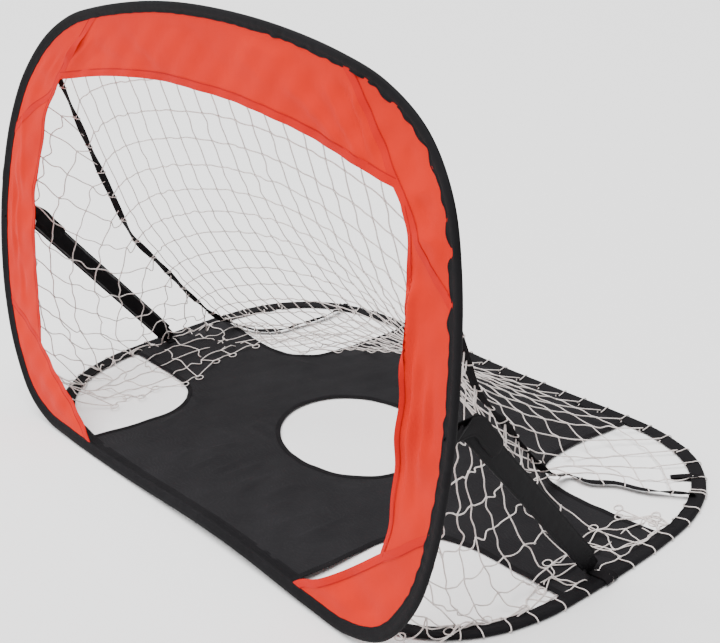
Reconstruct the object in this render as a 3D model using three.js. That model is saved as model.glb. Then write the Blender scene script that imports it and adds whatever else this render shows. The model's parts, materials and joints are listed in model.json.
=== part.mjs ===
// A pop-up target goal: two sprung-wire hoops in fabric sleeves, sewn together along one straight edge.
// The base hoop lies on the floor and carries a target sheet with five holes. The front hoop leans up
// from the seam, carries red facing panels round the mouth, and is held by a strut at each side.
// Knotted netting and two webbing ridge straps run from the front hoop back and down to the base.
// Millimetres, +Z up. The mouth faces -Y. X is the symmetry axis. The origin is at the middle of the
// footprint, on the floor.
import * as THREE from 'three';

// ---------------------------------------------------------------- driving dimensions
const FRONT_WIDTH = 1120;          // outside the front sleeve
const FRONT_HEIGHT = 773;          // along the leaning plane, outside the sleeve
const BASE_WIDTH = 1130;           // outside the base sleeve
const BASE_DEPTH = 784;            // from the seam to the rear
const FRONT_LEAN = 81.9;           // degrees between the base and the front plane
const FIT = 0.3;                   // gap between pieces that lie against each other

// sleeves and the wires in them
const SLEEVE_WIDTH = 24;           // flat width of the folded strip
const SLEEVE_THICK = 9;            // at the wire
const SLEEVE_LIP_THICK = 2.8;      // at the stitched inner edge
const SLEEVE_WALL = 1;             // one layer of fabric
const LIP_SLOPE = 0.14;            // how fast the sleeve thickens from its stitched edge
const WIRE_RADIUS = 1.8;
const WIRE_INSET = 6.5;            // from the sleeve's outer edge to the wire's centre
const FERRULE_RADIUS = 2.9;
const FERRULE_BORE = 2.1;
const FERRULE_LENGTH = 40;

// facing panels
const CLOTH = 0.6;                 // thickness of one layer of panel or sheet
const TUCK = 8;                    // how far a panel's edge runs into the sleeve's slot
const TOP_BAND = 87;               // height of the red band below the sleeve, at the middle
const TOP_BAND_ARCH = 40;          // how much lower the band's edge is at the mouth's corners
const SIDE_BAND = 83;              // width of the red band inside the side sleeve
const MOUTH_CORNER_CUT = 58;       // how far the mouth's top corners are cut in
const TOP_CORNER_RUN = 283;        // corner panel, along the top from the hoop's side
const TOP_CORNER_DROP = 279;       // corner panel, down the side from the hoop's top
const BOTTOM_CORNER_RUN = 293;     // corner panel, along the bottom from the hoop's side
const BOTTOM_CORNER_RISE = 225;    // corner panel, up the side from the seam

// target sheet
const CENTRE_HOLE_RADIUS = 142;
const CENTRE_HOLE_BACK = 384;      // from the seam to the hole's centre
const ARM_HALF_WIDTH = 282;        // half the sheet between the left and right corner holes
const SIDE_ARM_FRONT = 267;        // from the seam to the front holes' rear edge
const SIDE_ARM_REAR = 494;         // from the seam to the rear holes' front edge
const FRONT_HOLE_FILLET = 75;
const REAR_HOLE_FILLET = 55;
const BINDING_WIDTH = 11;
const REAR_HOLE_NECK = 4;          // the bindings' ends stay this far off the sleeve
const FRONT_HOLE_NECK = 2;
const SIDE_HOLE_NECK = 12;
const SEAM_TAPE_WIDTH = 6.4;
const SEAM_TAPE_THICK = 0.8;
const SEAM_TAPE_LENGTH = 620;

// struts, given for the left one and mirrored for the right one
const STRUT_INSET = 28;            // from the base sleeve's outside to the strut's pivot
const STRUT_BACK = 352;            // from the seam to the pivot
const STRUT_PIVOT_HEIGHT = 12;
const STRUT_TOP_INSET = 36;        // from the base sleeve's outside to the strut's top end
const STRUT_TOP_BACK = 88;
const STRUT_TOP_HEIGHT = 330;
const STRUT_WIDTH = 34;
const STRUT_THICK = 7;
const STRUT_WALL = 1.2;
const STRUT_START = 22;            // from the pivot to the sleeve's lower end
const STRUT_END = 430;             // from the pivot to the sleeve's upper end
const BATTEN_START = 46;
const TAIL_START = 1;
const TAIL_WIDTH = 8;
const TAIL_THICK = 2.4;
const ANCHOR_WIDTH = 28;
const ANCHOR_REACH = 12;
const ANCHOR_THICK = 1;
const SIDE_FLARE = 3;              // the base is this much narrower, each side, beside the anchor
const ANCHOR_LAP = 4;              // how far the anchor lies over the sleeve's inner edge
const TAB_WIDTH = 24;
const TAB_THICK = 1.2;
const TAB_LENGTH = 58;             // from the hoop's sleeve back along the strut

// netting and ridge straps
const NET_CORD = 2.4;
const BACK_NET_GAPS = [12, 9];     // across and down
const SIDE_NET_GAPS = [7, 7];
const NET_SAG = 190;
const SAG_FORWARD = 0.8;           // below 1, the net hangs deepest nearer the front hoop
const SLACK_SPAN = 500;            // a net longer than this from hoop to base sags in full
const SIDE_NET_DRAW = 45;          // how far the side nets hang in towards the middle
const NET_FOOT = 150;              // from the seam to where the side nets start on both hoops
const HOOP_CORNER_IN = 120;        // the ridge leaves the front hoop this far in from its side
const HOOP_CORNER_DOWN = 100;      // and this far below its top
const BASE_CORNER_IN = 70;         // the ridge meets the base this far in from its side
const BASE_CORNER_AHEAD = 90;      // and this far ahead of its rear
const STRAP_SEWN_IN = 76;          // the straps are sewn to the front sleeve this far in from its side
const STRAP_SEWN_DOWN = 142;       // and this far below its top
const STRAP_WIDTH = 11;
const STRAP_THICK = 1.2;
const STRAP_STEPS = 36;
const LOOP_WIDTH = 12;
const LOOP_LENGTH = 18;
const LOOP_THICK = 1.2;
const LOOP_INSET = 60;             // from the base's side to the loop
const LOOP_AHEAD = 110;            // from the base's rear to the loop

// how finely curves are cut
const HOOP_STEPS = 72;
const WIRE_SIDES = 6;
const ROUND_STEPS = 36;
const FILLET_STEPS = 6;

// ---------------------------------------------------------------- materials
function material(color, roughness, metalness = 0) {
  return new THREE.MeshStandardMaterial({ color, roughness, metalness });
}
const red = material(0xe33a24, 0.6);
const black = material(0x232124, 0.75);
const sheetBlack = material(0x2c2b2e, 0.7);
const steel = material(0x9a9ca0, 0.35, 1);
const netWhite = material(0xf2f1ee, 0.7);
const plastic = material(0x3a3a3c, 0.5);

// ---------------------------------------------------------------- hoop outlines
// Right half of each outer outline, from the middle of the seam to the middle of the far side,
// as shares of the half width and of the height or depth.
const FRONT_SHAPE = [
  [0, 0], [0.3, 0], [0.58, 0], [0.72, 0.005], [0.84, 0.042], [0.932, 0.135], [0.979, 0.25], [0.998, 0.37],
  [0.998, 0.478], [0.98, 0.587], [0.945, 0.696], [0.885, 0.8], [0.787, 0.884], [0.65, 0.939], [0.5, 0.967],
  [0.25, 0.992], [0, 1],
];
const BASE_SHAPE = [
  [0, 0], [0.3, 0], [0.5, 0.004], [0.667, 0.023], [0.82, 0.075], [0.924, 0.165], [0.978, 0.275], [0.994, 0.39],
  [1, 0.5], [1, 0.62], [0.985, 0.736], [0.929, 0.846], [0.823, 0.935], [0.669, 0.985], [0.5, 0.998],
  [0.25, 0.996], [0, 0.99],
];

class Hoop {
  // A closed curve in its own XY plane: the seam lies along y = 0 and t runs once round from there.
  constructor(shape, width, length) {
    const right = shape.map(([u, v]) => new THREE.Vector3((u * width) / 2, v * length, 0));
    const left = right.slice(1, -1).reverse().map((p) => new THREE.Vector3(-p.x, p.y, 0));
    this.curve = new THREE.CatmullRomCurve3([...right, ...left], true, 'centripetal');
    this.curve.arcLengthDivisions = 600;
  }

  at(t, inset = 0) {
    const share = ((t % 1) + 1) % 1;
    const point = this.curve.getPointAt(share);
    const along = this.curve.getTangentAt(share);
    return new THREE.Vector3(point.x - inset * along.y, point.y + inset * along.x, 0);
  }

  outward(t) {
    const along = this.curve.getTangentAt(((t % 1) + 1) % 1);
    return new THREE.Vector3(along.y, -along.x, 0);
  }

  // The share of the way round whose point, moved in by inset, best meets a test.
  nearest(x, y, inset = 0) {
    let best = 0;
    let least = Infinity;
    for (let i = 0; i < 1440; i += 1) {
      const p = this.at(i / 1440, inset);
      const gap = (p.x - x) ** 2 + (p.y - y) ** 2;
      if (gap < least) {
        least = gap;
        best = i / 1440;
      }
    }
    return best;
  }

  edge(from, to, inset, steps) {
    const span = ((((to - from) % 1) + 1) % 1) || 1;
    return Array.from({ length: steps + 1 }, (_, i) => this.at(from + (span * i) / steps, inset));
  }
}

const frontHoop = new Hoop(FRONT_SHAPE, FRONT_WIDTH, FRONT_HEIGHT);
const baseHoop = new Hoop(BASE_SHAPE, BASE_WIDTH, BASE_DEPTH);

// ---------------------------------------------------------------- solids from sections
// Joins stations of a section into one closed body. A station is a point with two directions.
function sweep(stations, outline, closed) {
  const turned = THREE.ShapeUtils.isClockWise(outline.map(([u, v]) => new THREE.Vector2(u, v)));
  const section = turned ? [...outline].reverse() : outline;
  const count = section.length;
  const position = [];
  for (const { point, a, b } of stations) {
    for (const [u, v] of section) {
      position.push(point.x + u * a.x + v * b.x, point.y + u * a.y + v * b.y, point.z + u * a.z + v * b.z);
    }
  }
  const index = [];
  const last = closed ? stations.length : stations.length - 1;
  for (let i = 0; i < last; i += 1) {
    const here = i * count;
    const next = ((i + 1) % stations.length) * count;
    for (let j = 0; j < count; j += 1) {
      const k = (j + 1) % count;
      index.push(here + j, here + k, next + k, here + j, next + k, next + j);
    }
  }
  if (!closed) {
    const flat = section.map(([u, v]) => new THREE.Vector2(u, v));
    const end = (stations.length - 1) * count;
    for (const [p, q, r] of THREE.ShapeUtils.triangulateShape(flat, [])) {
      index.push(p, r, q, end + p, end + q, end + r);
    }
  }
  const geometry = new THREE.BufferGeometry();
  geometry.setAttribute('position', new THREE.Float32BufferAttribute(position, 3));
  geometry.setIndex(index);
  return facingOut(geometry);
}

function facingOut(geometry) {
  const p = geometry.attributes.position;
  const index = geometry.index.array;
  const [a, b, c] = [new THREE.Vector3(), new THREE.Vector3(), new THREE.Vector3()];
  let volume = 0;
  for (let i = 0; i < index.length; i += 3) {
    a.fromBufferAttribute(p, index[i]);
    b.fromBufferAttribute(p, index[i + 1]);
    c.fromBufferAttribute(p, index[i + 2]);
    volume += a.dot(b.cross(c));
  }
  if (volume < 0) {
    for (let i = 0; i < index.length; i += 3) {
      [index[i + 1], index[i + 2]] = [index[i + 2], index[i + 1]];
    }
  }
  return geometry;
}

function plate(points, bottom, thick, holes = []) {
  const shape = new THREE.Shape(points.map((p) => new THREE.Vector2(p.x, p.y)));
  for (const hole of holes) {
    shape.holes.push(new THREE.Path(hole.map((p) => new THREE.Vector2(p.x, p.y))));
  }
  const geometry = new THREE.ExtrudeGeometry(shape, { depth: thick, bevelEnabled: false });
  geometry.translate(0, 0, bottom);
  return geometry;
}

function arc(x, y, radius, from, to, steps) {
  return Array.from({ length: steps + 1 }, (_, i) => {
    const angle = from + ((to - from) * i) / steps;
    return new THREE.Vector3(x + radius * Math.cos(angle), y + radius * Math.sin(angle), 0);
  });
}

function circle(x, y, radius) {
  return arc(x, y, radius, 0, 2 * Math.PI, ROUND_STEPS).slice(0, -1);
}

function mirrored(points) {
  return points.map((p) => new THREE.Vector3(-p.x, p.y, p.z)).reverse();
}

function named(name, geometry, paint) {
  const mesh = new THREE.Mesh(geometry, paint);
  mesh.name = name;
  return mesh;
}

// ---------------------------------------------------------------- sleeves, wires and ferrules
// The sleeve is a strip folded over the wire, open along its inner edge, where the panels enter.
function sleeveSection() {
  const inner = -SLEEVE_WIDTH;
  const full = SLEEVE_THICK / 2;
  const lip = SLEEVE_LIP_THICK / 2;
  const slot = CLOTH / 2 + FIT;
  const outside = [[inner, lip], [inner / 2 - 1, full * 0.6], [-9.5, full], [-3, full], [0, full * 0.3]];
  const inside = [[inner, slot], [inner / 2 - 1, full * 0.6 - SLEEVE_WALL], [-9.5, full - SLEEVE_WALL],
    [-3.6, full - SLEEVE_WALL], [-SLEEVE_WALL, full * 0.25]];
  const flipped = (list) => list.map(([u, v]) => [u, -v]);
  return [...outside, ...flipped(outside).reverse(), ...flipped(inside), ...inside.reverse()];
}

function sleeve(name, hoop) {
  const stations = Array.from({ length: HOOP_STEPS }, (_, i) => {
    const t = i / HOOP_STEPS;
    return { point: hoop.at(t), a: hoop.outward(t), b: new THREE.Vector3(0, 0, 1) };
  });
  return named(name, sweep(stations, sleeveSection(), true), black);
}

function wire(name, hoop) {
  const section = arc(0, 0, WIRE_RADIUS, 0, 2 * Math.PI, WIRE_SIDES).slice(0, -1).map((p) => [p.x, p.y]);
  const stations = Array.from({ length: HOOP_STEPS }, (_, i) => {
    const t = i / HOOP_STEPS;
    return { point: hoop.at(t, WIRE_INSET), a: hoop.outward(t), b: new THREE.Vector3(0, 0, 1) };
  });
  return named(name, sweep(stations, section, true), steel);
}

function ferrule(name) {
  const profile = [
    [FERRULE_BORE, -FERRULE_LENGTH / 2], [FERRULE_RADIUS, -FERRULE_LENGTH / 2],
    [FERRULE_RADIUS, FERRULE_LENGTH / 2], [FERRULE_BORE, FERRULE_LENGTH / 2], [FERRULE_BORE, -FERRULE_LENGTH / 2],
  ].map(([r, y]) => new THREE.Vector2(r, y));
  const mesh = named(name, new THREE.LatheGeometry(profile, 12), steel);
  mesh.rotation.z = -Math.PI / 2;
  mesh.position.set(0, WIRE_INSET, 0);
  return mesh;
}

// ---------------------------------------------------------------- base
function strutDirections(side) {
  const pivot = new THREE.Vector3(side * (BASE_WIDTH / 2 - STRUT_INSET), STRUT_BACK, STRUT_PIVOT_HEIGHT);
  const top = new THREE.Vector3(side * (BASE_WIDTH / 2 - STRUT_TOP_INSET), STRUT_TOP_BACK, STRUT_TOP_HEIGHT);
  const along = top.sub(pivot).normalize();
  const across = new THREE.Vector3(1, 0, 0).cross(along).normalize();
  const through = across.clone().cross(along);
  return { pivot, along, across, through };
}

const SLOT_INSET = SLEEVE_WIDTH - TUCK;
const basePlane = SLEEVE_THICK / 2;

function sheetOutline() {
  const frontLeft = baseHoop.nearest(-ARM_HALF_WIDTH, 0, SLOT_INSET);
  const frontRight = baseHoop.nearest(ARM_HALF_WIDTH, 0, SLOT_INSET);
  const sideFront = baseHoop.nearest(BASE_WIDTH / 2, SIDE_ARM_FRONT, SLOT_INSET);
  const sideRear = baseHoop.nearest(BASE_WIDTH / 2, SIDE_ARM_REAR, SLOT_INSET);
  const rearRight = baseHoop.nearest(ARM_HALF_WIDTH, BASE_DEPTH, SLOT_INSET);
  const rearLeft = baseHoop.nearest(-ARM_HALF_WIDTH, BASE_DEPTH, SLOT_INSET);
  const rightHalf = [
    ...cornerEdge(false),
    ...baseHoop.edge(sideFront, sideRear, SLOT_INSET, 10),
    ...cornerEdge(true),
  ];
  return [
    ...baseHoop.edge(frontLeft, frontRight, SLOT_INSET, 8),
    ...rightHalf,
    ...baseHoop.edge(rearRight, rearLeft, SLOT_INSET, 14),
    ...mirrored(rightHalf),
  ];
}

// The inner edge of a right-hand corner hole, without its ends on the hoop.
function cornerEdge(rear, inset = 0) {
  const x = ARM_HALF_WIDTH - inset;
  if (rear) {
    const r = REAR_HOLE_FILLET + inset;
    const [cx, cy] = [ARM_HALF_WIDTH + REAR_HOLE_FILLET, SIDE_ARM_REAR + REAR_HOLE_FILLET];
    return arc(cx, cy, r, 1.5 * Math.PI, Math.PI, FILLET_STEPS);
  }
  const r = FRONT_HOLE_FILLET + inset;
  const [cx, cy] = [x + r, SIDE_ARM_FRONT - FRONT_HOLE_FILLET];
  return arc(cx, cy, r, Math.PI, Math.PI / 2, FILLET_STEPS);
}

function targetSheet() {
  const hole = circle(0, CENTRE_HOLE_BACK, CENTRE_HOLE_RADIUS);
  return named('target_sheet', plate(sheetOutline(), -CLOTH / 2, CLOTH, [hole]), sheetBlack);
}

// Binding tape lies on the sheet along each hole's edge.
function centreBinding() {
  const outer = circle(0, CENTRE_HOLE_BACK, CENTRE_HOLE_RADIUS + BINDING_WIDTH);
  const inner = circle(0, CENTRE_HOLE_BACK, CENTRE_HOLE_RADIUS);
  return named('binding_centre', plate(outer, CLOTH / 2 + FIT, CLOTH, [inner]), black);
}

function cornerBinding(name, rear, side) {
  const sleeveEdge = SLEEVE_WIDTH + 2;
  const far = rear ? BASE_DEPTH - sleeveEdge - REAR_HOLE_NECK : sleeveEdge + FRONT_HOLE_NECK;
  const sideY = rear ? SIDE_ARM_REAR : SIDE_ARM_FRONT;
  const out = BASE_WIDTH / 2 - sleeveEdge - SIDE_HOLE_NECK;
  const toSheet = rear ? -BINDING_WIDTH : BINDING_WIDTH;
  const holeEdge = cornerEdge(rear);
  const sheetEdge = cornerEdge(rear, BINDING_WIDTH);
  let outline;
  if (rear) {
    outline = [
      new THREE.Vector3(out, sideY, 0), ...holeEdge, new THREE.Vector3(ARM_HALF_WIDTH, far, 0),
      new THREE.Vector3(ARM_HALF_WIDTH - BINDING_WIDTH, far, 0), ...sheetEdge.reverse(),
      new THREE.Vector3(out, sideY + toSheet, 0),
    ];
  } else {
    outline = [
      new THREE.Vector3(ARM_HALF_WIDTH, far, 0), ...holeEdge, new THREE.Vector3(out, sideY, 0),
      new THREE.Vector3(out, sideY + toSheet, 0), ...sheetEdge.reverse(),
      new THREE.Vector3(ARM_HALF_WIDTH - BINDING_WIDTH, far, 0),
    ];
  }
  const points = side < 0 ? mirrored(outline) : outline;
  return named(name, plate(points, CLOTH / 2 + FIT, CLOTH), black);
}

function seamTape() {
  const geometry = new THREE.BoxGeometry(SEAM_TAPE_LENGTH, SEAM_TAPE_THICK, SEAM_TAPE_WIDTH);
  geometry.translate(0, -FIT - SEAM_TAPE_THICK / 2, 0);
  return named('seam_tape', geometry, black);
}

// Webbing folded flat over the sleeve's inner edge, and up to just under the strut's tail.
function strutAnchor(name, side) {
  const { along, across } = strutDirections(side);
  const lowest = STRUT_PIVOT_HEIGHT - basePlane + along.z * TAIL_START - Math.abs(across.z) * (TAIL_WIDTH / 2);
  const under = SLEEVE_LIP_THICK / 2 + ANCHOR_LAP * LIP_SLOPE + FIT;
  const over = under + ANCHOR_THICK;
  const fold = along.y * TAIL_START - Math.abs(across.y) * (TAIL_WIDTH / 2);
  const section = [
    [-ANCHOR_WIDTH / 2, under], [ANCHOR_WIDTH / 2, under], [ANCHOR_WIDTH / 2, over], [fold + 1, over],
    [fold + 1, lowest - FIT], [fold - 2, lowest - FIT], [fold - 2, over], [-ANCHOR_WIDTH / 2, over],
  ];
  const outer = BASE_WIDTH / 2 - SLEEVE_WIDTH + ANCHOR_LAP - SIDE_FLARE;
  const a = new THREE.Vector3(0, 1, 0);
  const b = new THREE.Vector3(0, 0, 1);
  const stations = [outer - ANCHOR_REACH, outer].map((x) => (
    { point: new THREE.Vector3(side * x, STRUT_BACK, 0), a, b }
  ));
  return named(name, sweep(stations, section, false), black);
}

// A loop of webbing flat on the rear corner of the base sleeve.
function loopTab() {
  const t = baseHoop.nearest(BASE_WIDTH / 2 - LOOP_INSET, BASE_DEPTH - LOOP_AHEAD);
  const at = baseHoop.at(t, SLEEVE_WIDTH / 2);
  const out = baseHoop.outward(t);
  const mesh = named('base_loop_tab', new THREE.BoxGeometry(LOOP_LENGTH, LOOP_WIDTH, LOOP_THICK), black);
  mesh.position.set(at.x, at.y, SLEEVE_THICK / 2 + FIT + LOOP_THICK / 2);
  mesh.rotation.z = Math.atan2(out.y, out.x);
  return mesh;
}

const base = new THREE.Group();
base.position.z = basePlane;
base.add(
  wire('base_hoop_wire', baseHoop), ferrule('base_hoop_ferrule'), sleeve('base_sleeve', baseHoop),
  targetSheet(), centreBinding(),
  cornerBinding('binding_front_left', false, -1), cornerBinding('binding_front_right', false, 1),
  cornerBinding('binding_rear_left', true, -1), cornerBinding('binding_rear_right', true, 1),
  seamTape(), strutAnchor('strut_anchor_left', -1), strutAnchor('strut_anchor_right', 1), loopTab(),
);

// ---------------------------------------------------------------- front frame
// The fold's axis lies along the seam tape's top, just over the base sleeve. The front sleeve stands
// against it, so that the frame can fold back until it lies over the base.
const lean = THREE.MathUtils.degToRad(FRONT_LEAN);
const SEAM_Y = -FIT * 2 - SEAM_TAPE_THICK / 2 - 0.2;
const SEAM_Z = SLEEVE_THICK + FIT + 0.1;
const HINGE_UP = SLEEVE_THICK + FIT / 2;       // the axis is this far up the front plane
const HINGE_BACK = SLEEVE_THICK / 2 + FIT;     // and this far behind it
const upPlane = new THREE.Vector3(0, Math.cos(lean), Math.sin(lean));
const behind = new THREE.Vector3(0, Math.sin(lean), -Math.cos(lean));
const frontOrigin = new THREE.Vector3(0, SEAM_Y, SEAM_Z)
  .addScaledVector(upPlane, -HINGE_UP)
  .addScaledVector(behind, -HINGE_BACK);

function onFront(x, up, back = 0) {
  const p = frontOrigin.clone().addScaledVector(upPlane, up).addScaledVector(behind, back);
  p.x = x;
  return p;
}

const mouthHalf = FRONT_WIDTH / 2 - SLEEVE_WIDTH - SIDE_BAND;
const mouthTop = FRONT_HEIGHT - SLEEVE_WIDTH - TOP_BAND;
const mouthCorner = new THREE.Vector3(mouthHalf - MOUTH_CORNER_CUT, mouthTop - TOP_BAND_ARCH - 15, 0);
const topSeamHead = frontHoop.nearest(FRONT_WIDTH / 2 - TOP_CORNER_RUN, FRONT_HEIGHT, SLOT_INSET);
const topSeamSide = frontHoop.nearest(FRONT_WIDTH / 2, FRONT_HEIGHT - TOP_CORNER_DROP, SLOT_INSET);
const lowSeamSide = frontHoop.nearest(FRONT_WIDTH / 2, BOTTOM_CORNER_RISE, SLOT_INSET);
const lowSeamFoot = frontHoop.nearest(FRONT_WIDTH / 2 - BOTTOM_CORNER_RUN, 0, SLOT_INSET);
const lowHead = frontHoop.at(lowSeamSide, SLOT_INSET);
const lowFoot = frontHoop.at(lowSeamFoot, SLOT_INSET);
const lowAcross = (mouthHalf - lowFoot.x) / (lowHead.x - lowFoot.x);
const mouthFoot = lowFoot.clone().lerp(lowHead, lowAcross);
const SEAM_GAP = FIT * 1.4;
const PANEL_STEPS = 8;

function panel(name, points) {
  return named(name, plate(points, -CLOTH / 2, CLOTH), red);
}

function topPanel() {
  const head = frontHoop.edge(topSeamHead, 1 - topSeamHead, SLOT_INSET, 2 * PANEL_STEPS);
  const arch = Array.from({ length: 2 * PANEL_STEPS + 1 }, (_, i) => {
    const share = (i / PANEL_STEPS) - 1;
    const drop = (mouthTop - mouthCorner.y) * Math.abs(share) ** 2.4;
    return new THREE.Vector3(share * mouthCorner.x, mouthTop - drop, 0);
  });
  return panel('top_panel', [...head, ...arch]);
}

function sidePanel(name, side) {
  const outer = frontHoop.edge(lowSeamSide, topSeamSide, SLOT_INSET, PANEL_STEPS);
  const inner = [
    mouthCorner.clone().add(new THREE.Vector3(1, -1, 0).multiplyScalar(SEAM_GAP)),
    new THREE.Vector3(mouthHalf - MOUTH_CORNER_CUT * 0.3, mouthCorner.y - MOUTH_CORNER_CUT * 0.9, 0),
    new THREE.Vector3(mouthHalf, mouthCorner.y - MOUTH_CORNER_CUT * 2.2, 0),
    new THREE.Vector3(mouthHalf + SIDE_BAND * 0.15, FRONT_HEIGHT / 2, 0),
    new THREE.Vector3(mouthHalf, mouthFoot.y, 0),
  ];
  const outline = [...outer, ...inner];
  return panel(name, side < 0 ? mirrored(outline) : outline);
}

// Each corner panel stops a seam gap short of the panels beside it.
function topCorner(name, side) {
  const outer = frontHoop.edge(topSeamSide, topSeamHead, SLOT_INSET, PANEL_STEPS);
  const away = new THREE.Vector3(1, 1, 0).multiplyScalar(SEAM_GAP);
  const start = outer[0].clone().add(new THREE.Vector3(0, 2 * SEAM_GAP, 0));
  const end = outer[PANEL_STEPS].clone().add(new THREE.Vector3(2 * SEAM_GAP, 0, 0));
  const outline = [start, ...outer.slice(1, -1), end, mouthCorner.clone().add(away)];
  return panel(name, side < 0 ? mirrored(outline) : outline);
}

function bottomCorner(name, side) {
  const outer = frontHoop.edge(lowSeamFoot, lowSeamSide, SLOT_INSET, PANEL_STEPS);
  const end = outer[PANEL_STEPS].clone().add(new THREE.Vector3(0, -2 * SEAM_GAP, 0));
  const outline = [...outer.slice(0, -1), end, mouthFoot.clone().add(new THREE.Vector3(0, -2 * SEAM_GAP, 0))];
  return panel(name, side < 0 ? mirrored(outline) : outline);
}

const front = new THREE.Group();
front.rotation.x = lean;
front.position.copy(frontOrigin);
front.add(
  wire('front_hoop_wire', frontHoop), ferrule('front_hoop_ferrule'), sleeve('front_sleeve', frontHoop),
  topPanel(), sidePanel('side_panel_left', -1), sidePanel('side_panel_right', 1),
  topCorner('top_corner_left', -1), topCorner('top_corner_right', 1),
  bottomCorner('bottom_corner_left', -1), bottomCorner('bottom_corner_right', 1),
);

// ---------------------------------------------------------------- struts
// Each strut's own frame has Y along it, up from the pivot, X across its width and Z through it.
function strutFrame(side) {
  const { pivot, along, across, through } = strutDirections(side);
  const group = new THREE.Group();
  group.matrixAutoUpdate = false;
  group.matrix.makeBasis(across, along, through).setPosition(pivot);
  return group;
}

function roundedBar(width, thick) {
  const r = thick * 0.3;
  const [w, t] = [width / 2, thick / 2];
  return [[w - r, -t], [w, -t + r], [w, t - r], [w - r, t], [r - w, t], [-w, t - r], [-w, r - t], [r - w, -t]];
}

function barStations(from, to) {
  const a = new THREE.Vector3(1, 0, 0);
  const b = new THREE.Vector3(0, 0, 1);
  return [from, to].map((y) => ({ point: new THREE.Vector3(0, y, 0), a, b }));
}

function strutSleeve(name) {
  const shape = new THREE.Shape(roundedBar(STRUT_WIDTH, STRUT_THICK).map(([u, v]) => new THREE.Vector2(u, v)));
  const bore = roundedBar(STRUT_WIDTH - 2 * STRUT_WALL, STRUT_THICK - 2 * STRUT_WALL);
  shape.holes.push(new THREE.Path(bore.map(([u, v]) => new THREE.Vector2(u, v))));
  const geometry = new THREE.ExtrudeGeometry(shape, { depth: STRUT_END - STRUT_START, bevelEnabled: false });
  geometry.rotateX(-Math.PI / 2);
  geometry.translate(0, STRUT_START, 0);
  return named(name, geometry, black);
}

function strut(side, word) {
  const group = strutFrame(side);
  const inside = STRUT_WALL + FIT;
  const batten = roundedBar(STRUT_WIDTH - 2 * inside, STRUT_THICK - 2 * inside);
  const tail = roundedBar(TAIL_WIDTH, TAIL_THICK);
  group.add(
    strutSleeve(`strut_sleeve_${word}`),
    named(`strut_batten_${word}`, sweep(barStations(BATTEN_START, STRUT_END - 4), batten, false), plastic),
    named(`strut_tail_${word}`, sweep(barStations(TAIL_START, BATTEN_START - FIT), tail, false), black),
  );
  return group;
}

// The tab leaves the front sleeve and holds the strut's end between its two layers.
function strutTab(side, word) {
  const group = strutFrame(side);
  const gap = STRUT_THICK / 2 + FIT;
  const outer = gap + TAB_THICK;
  const top = STRUT_END + FIT;
  const foot = top - TAB_LENGTH + 8;
  const section = [
    [foot, gap], [foot, outer], [top + TAB_THICK, outer], [top + TAB_THICK, -outer], [foot, -outer], [foot, -gap],
    [top, -gap], [top, gap],
  ];
  const a = new THREE.Vector3(0, 1, 0);
  const b = new THREE.Vector3(0, 0, 1);
  const stations = [-TAB_WIDTH / 2, TAB_WIDTH / 2].map((x) => ({ point: new THREE.Vector3(x, 0, 0), a, b }));
  group.add(named(`strut_tab_${word}`, sweep(stations, section, false), black));
  return group;
}

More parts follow.
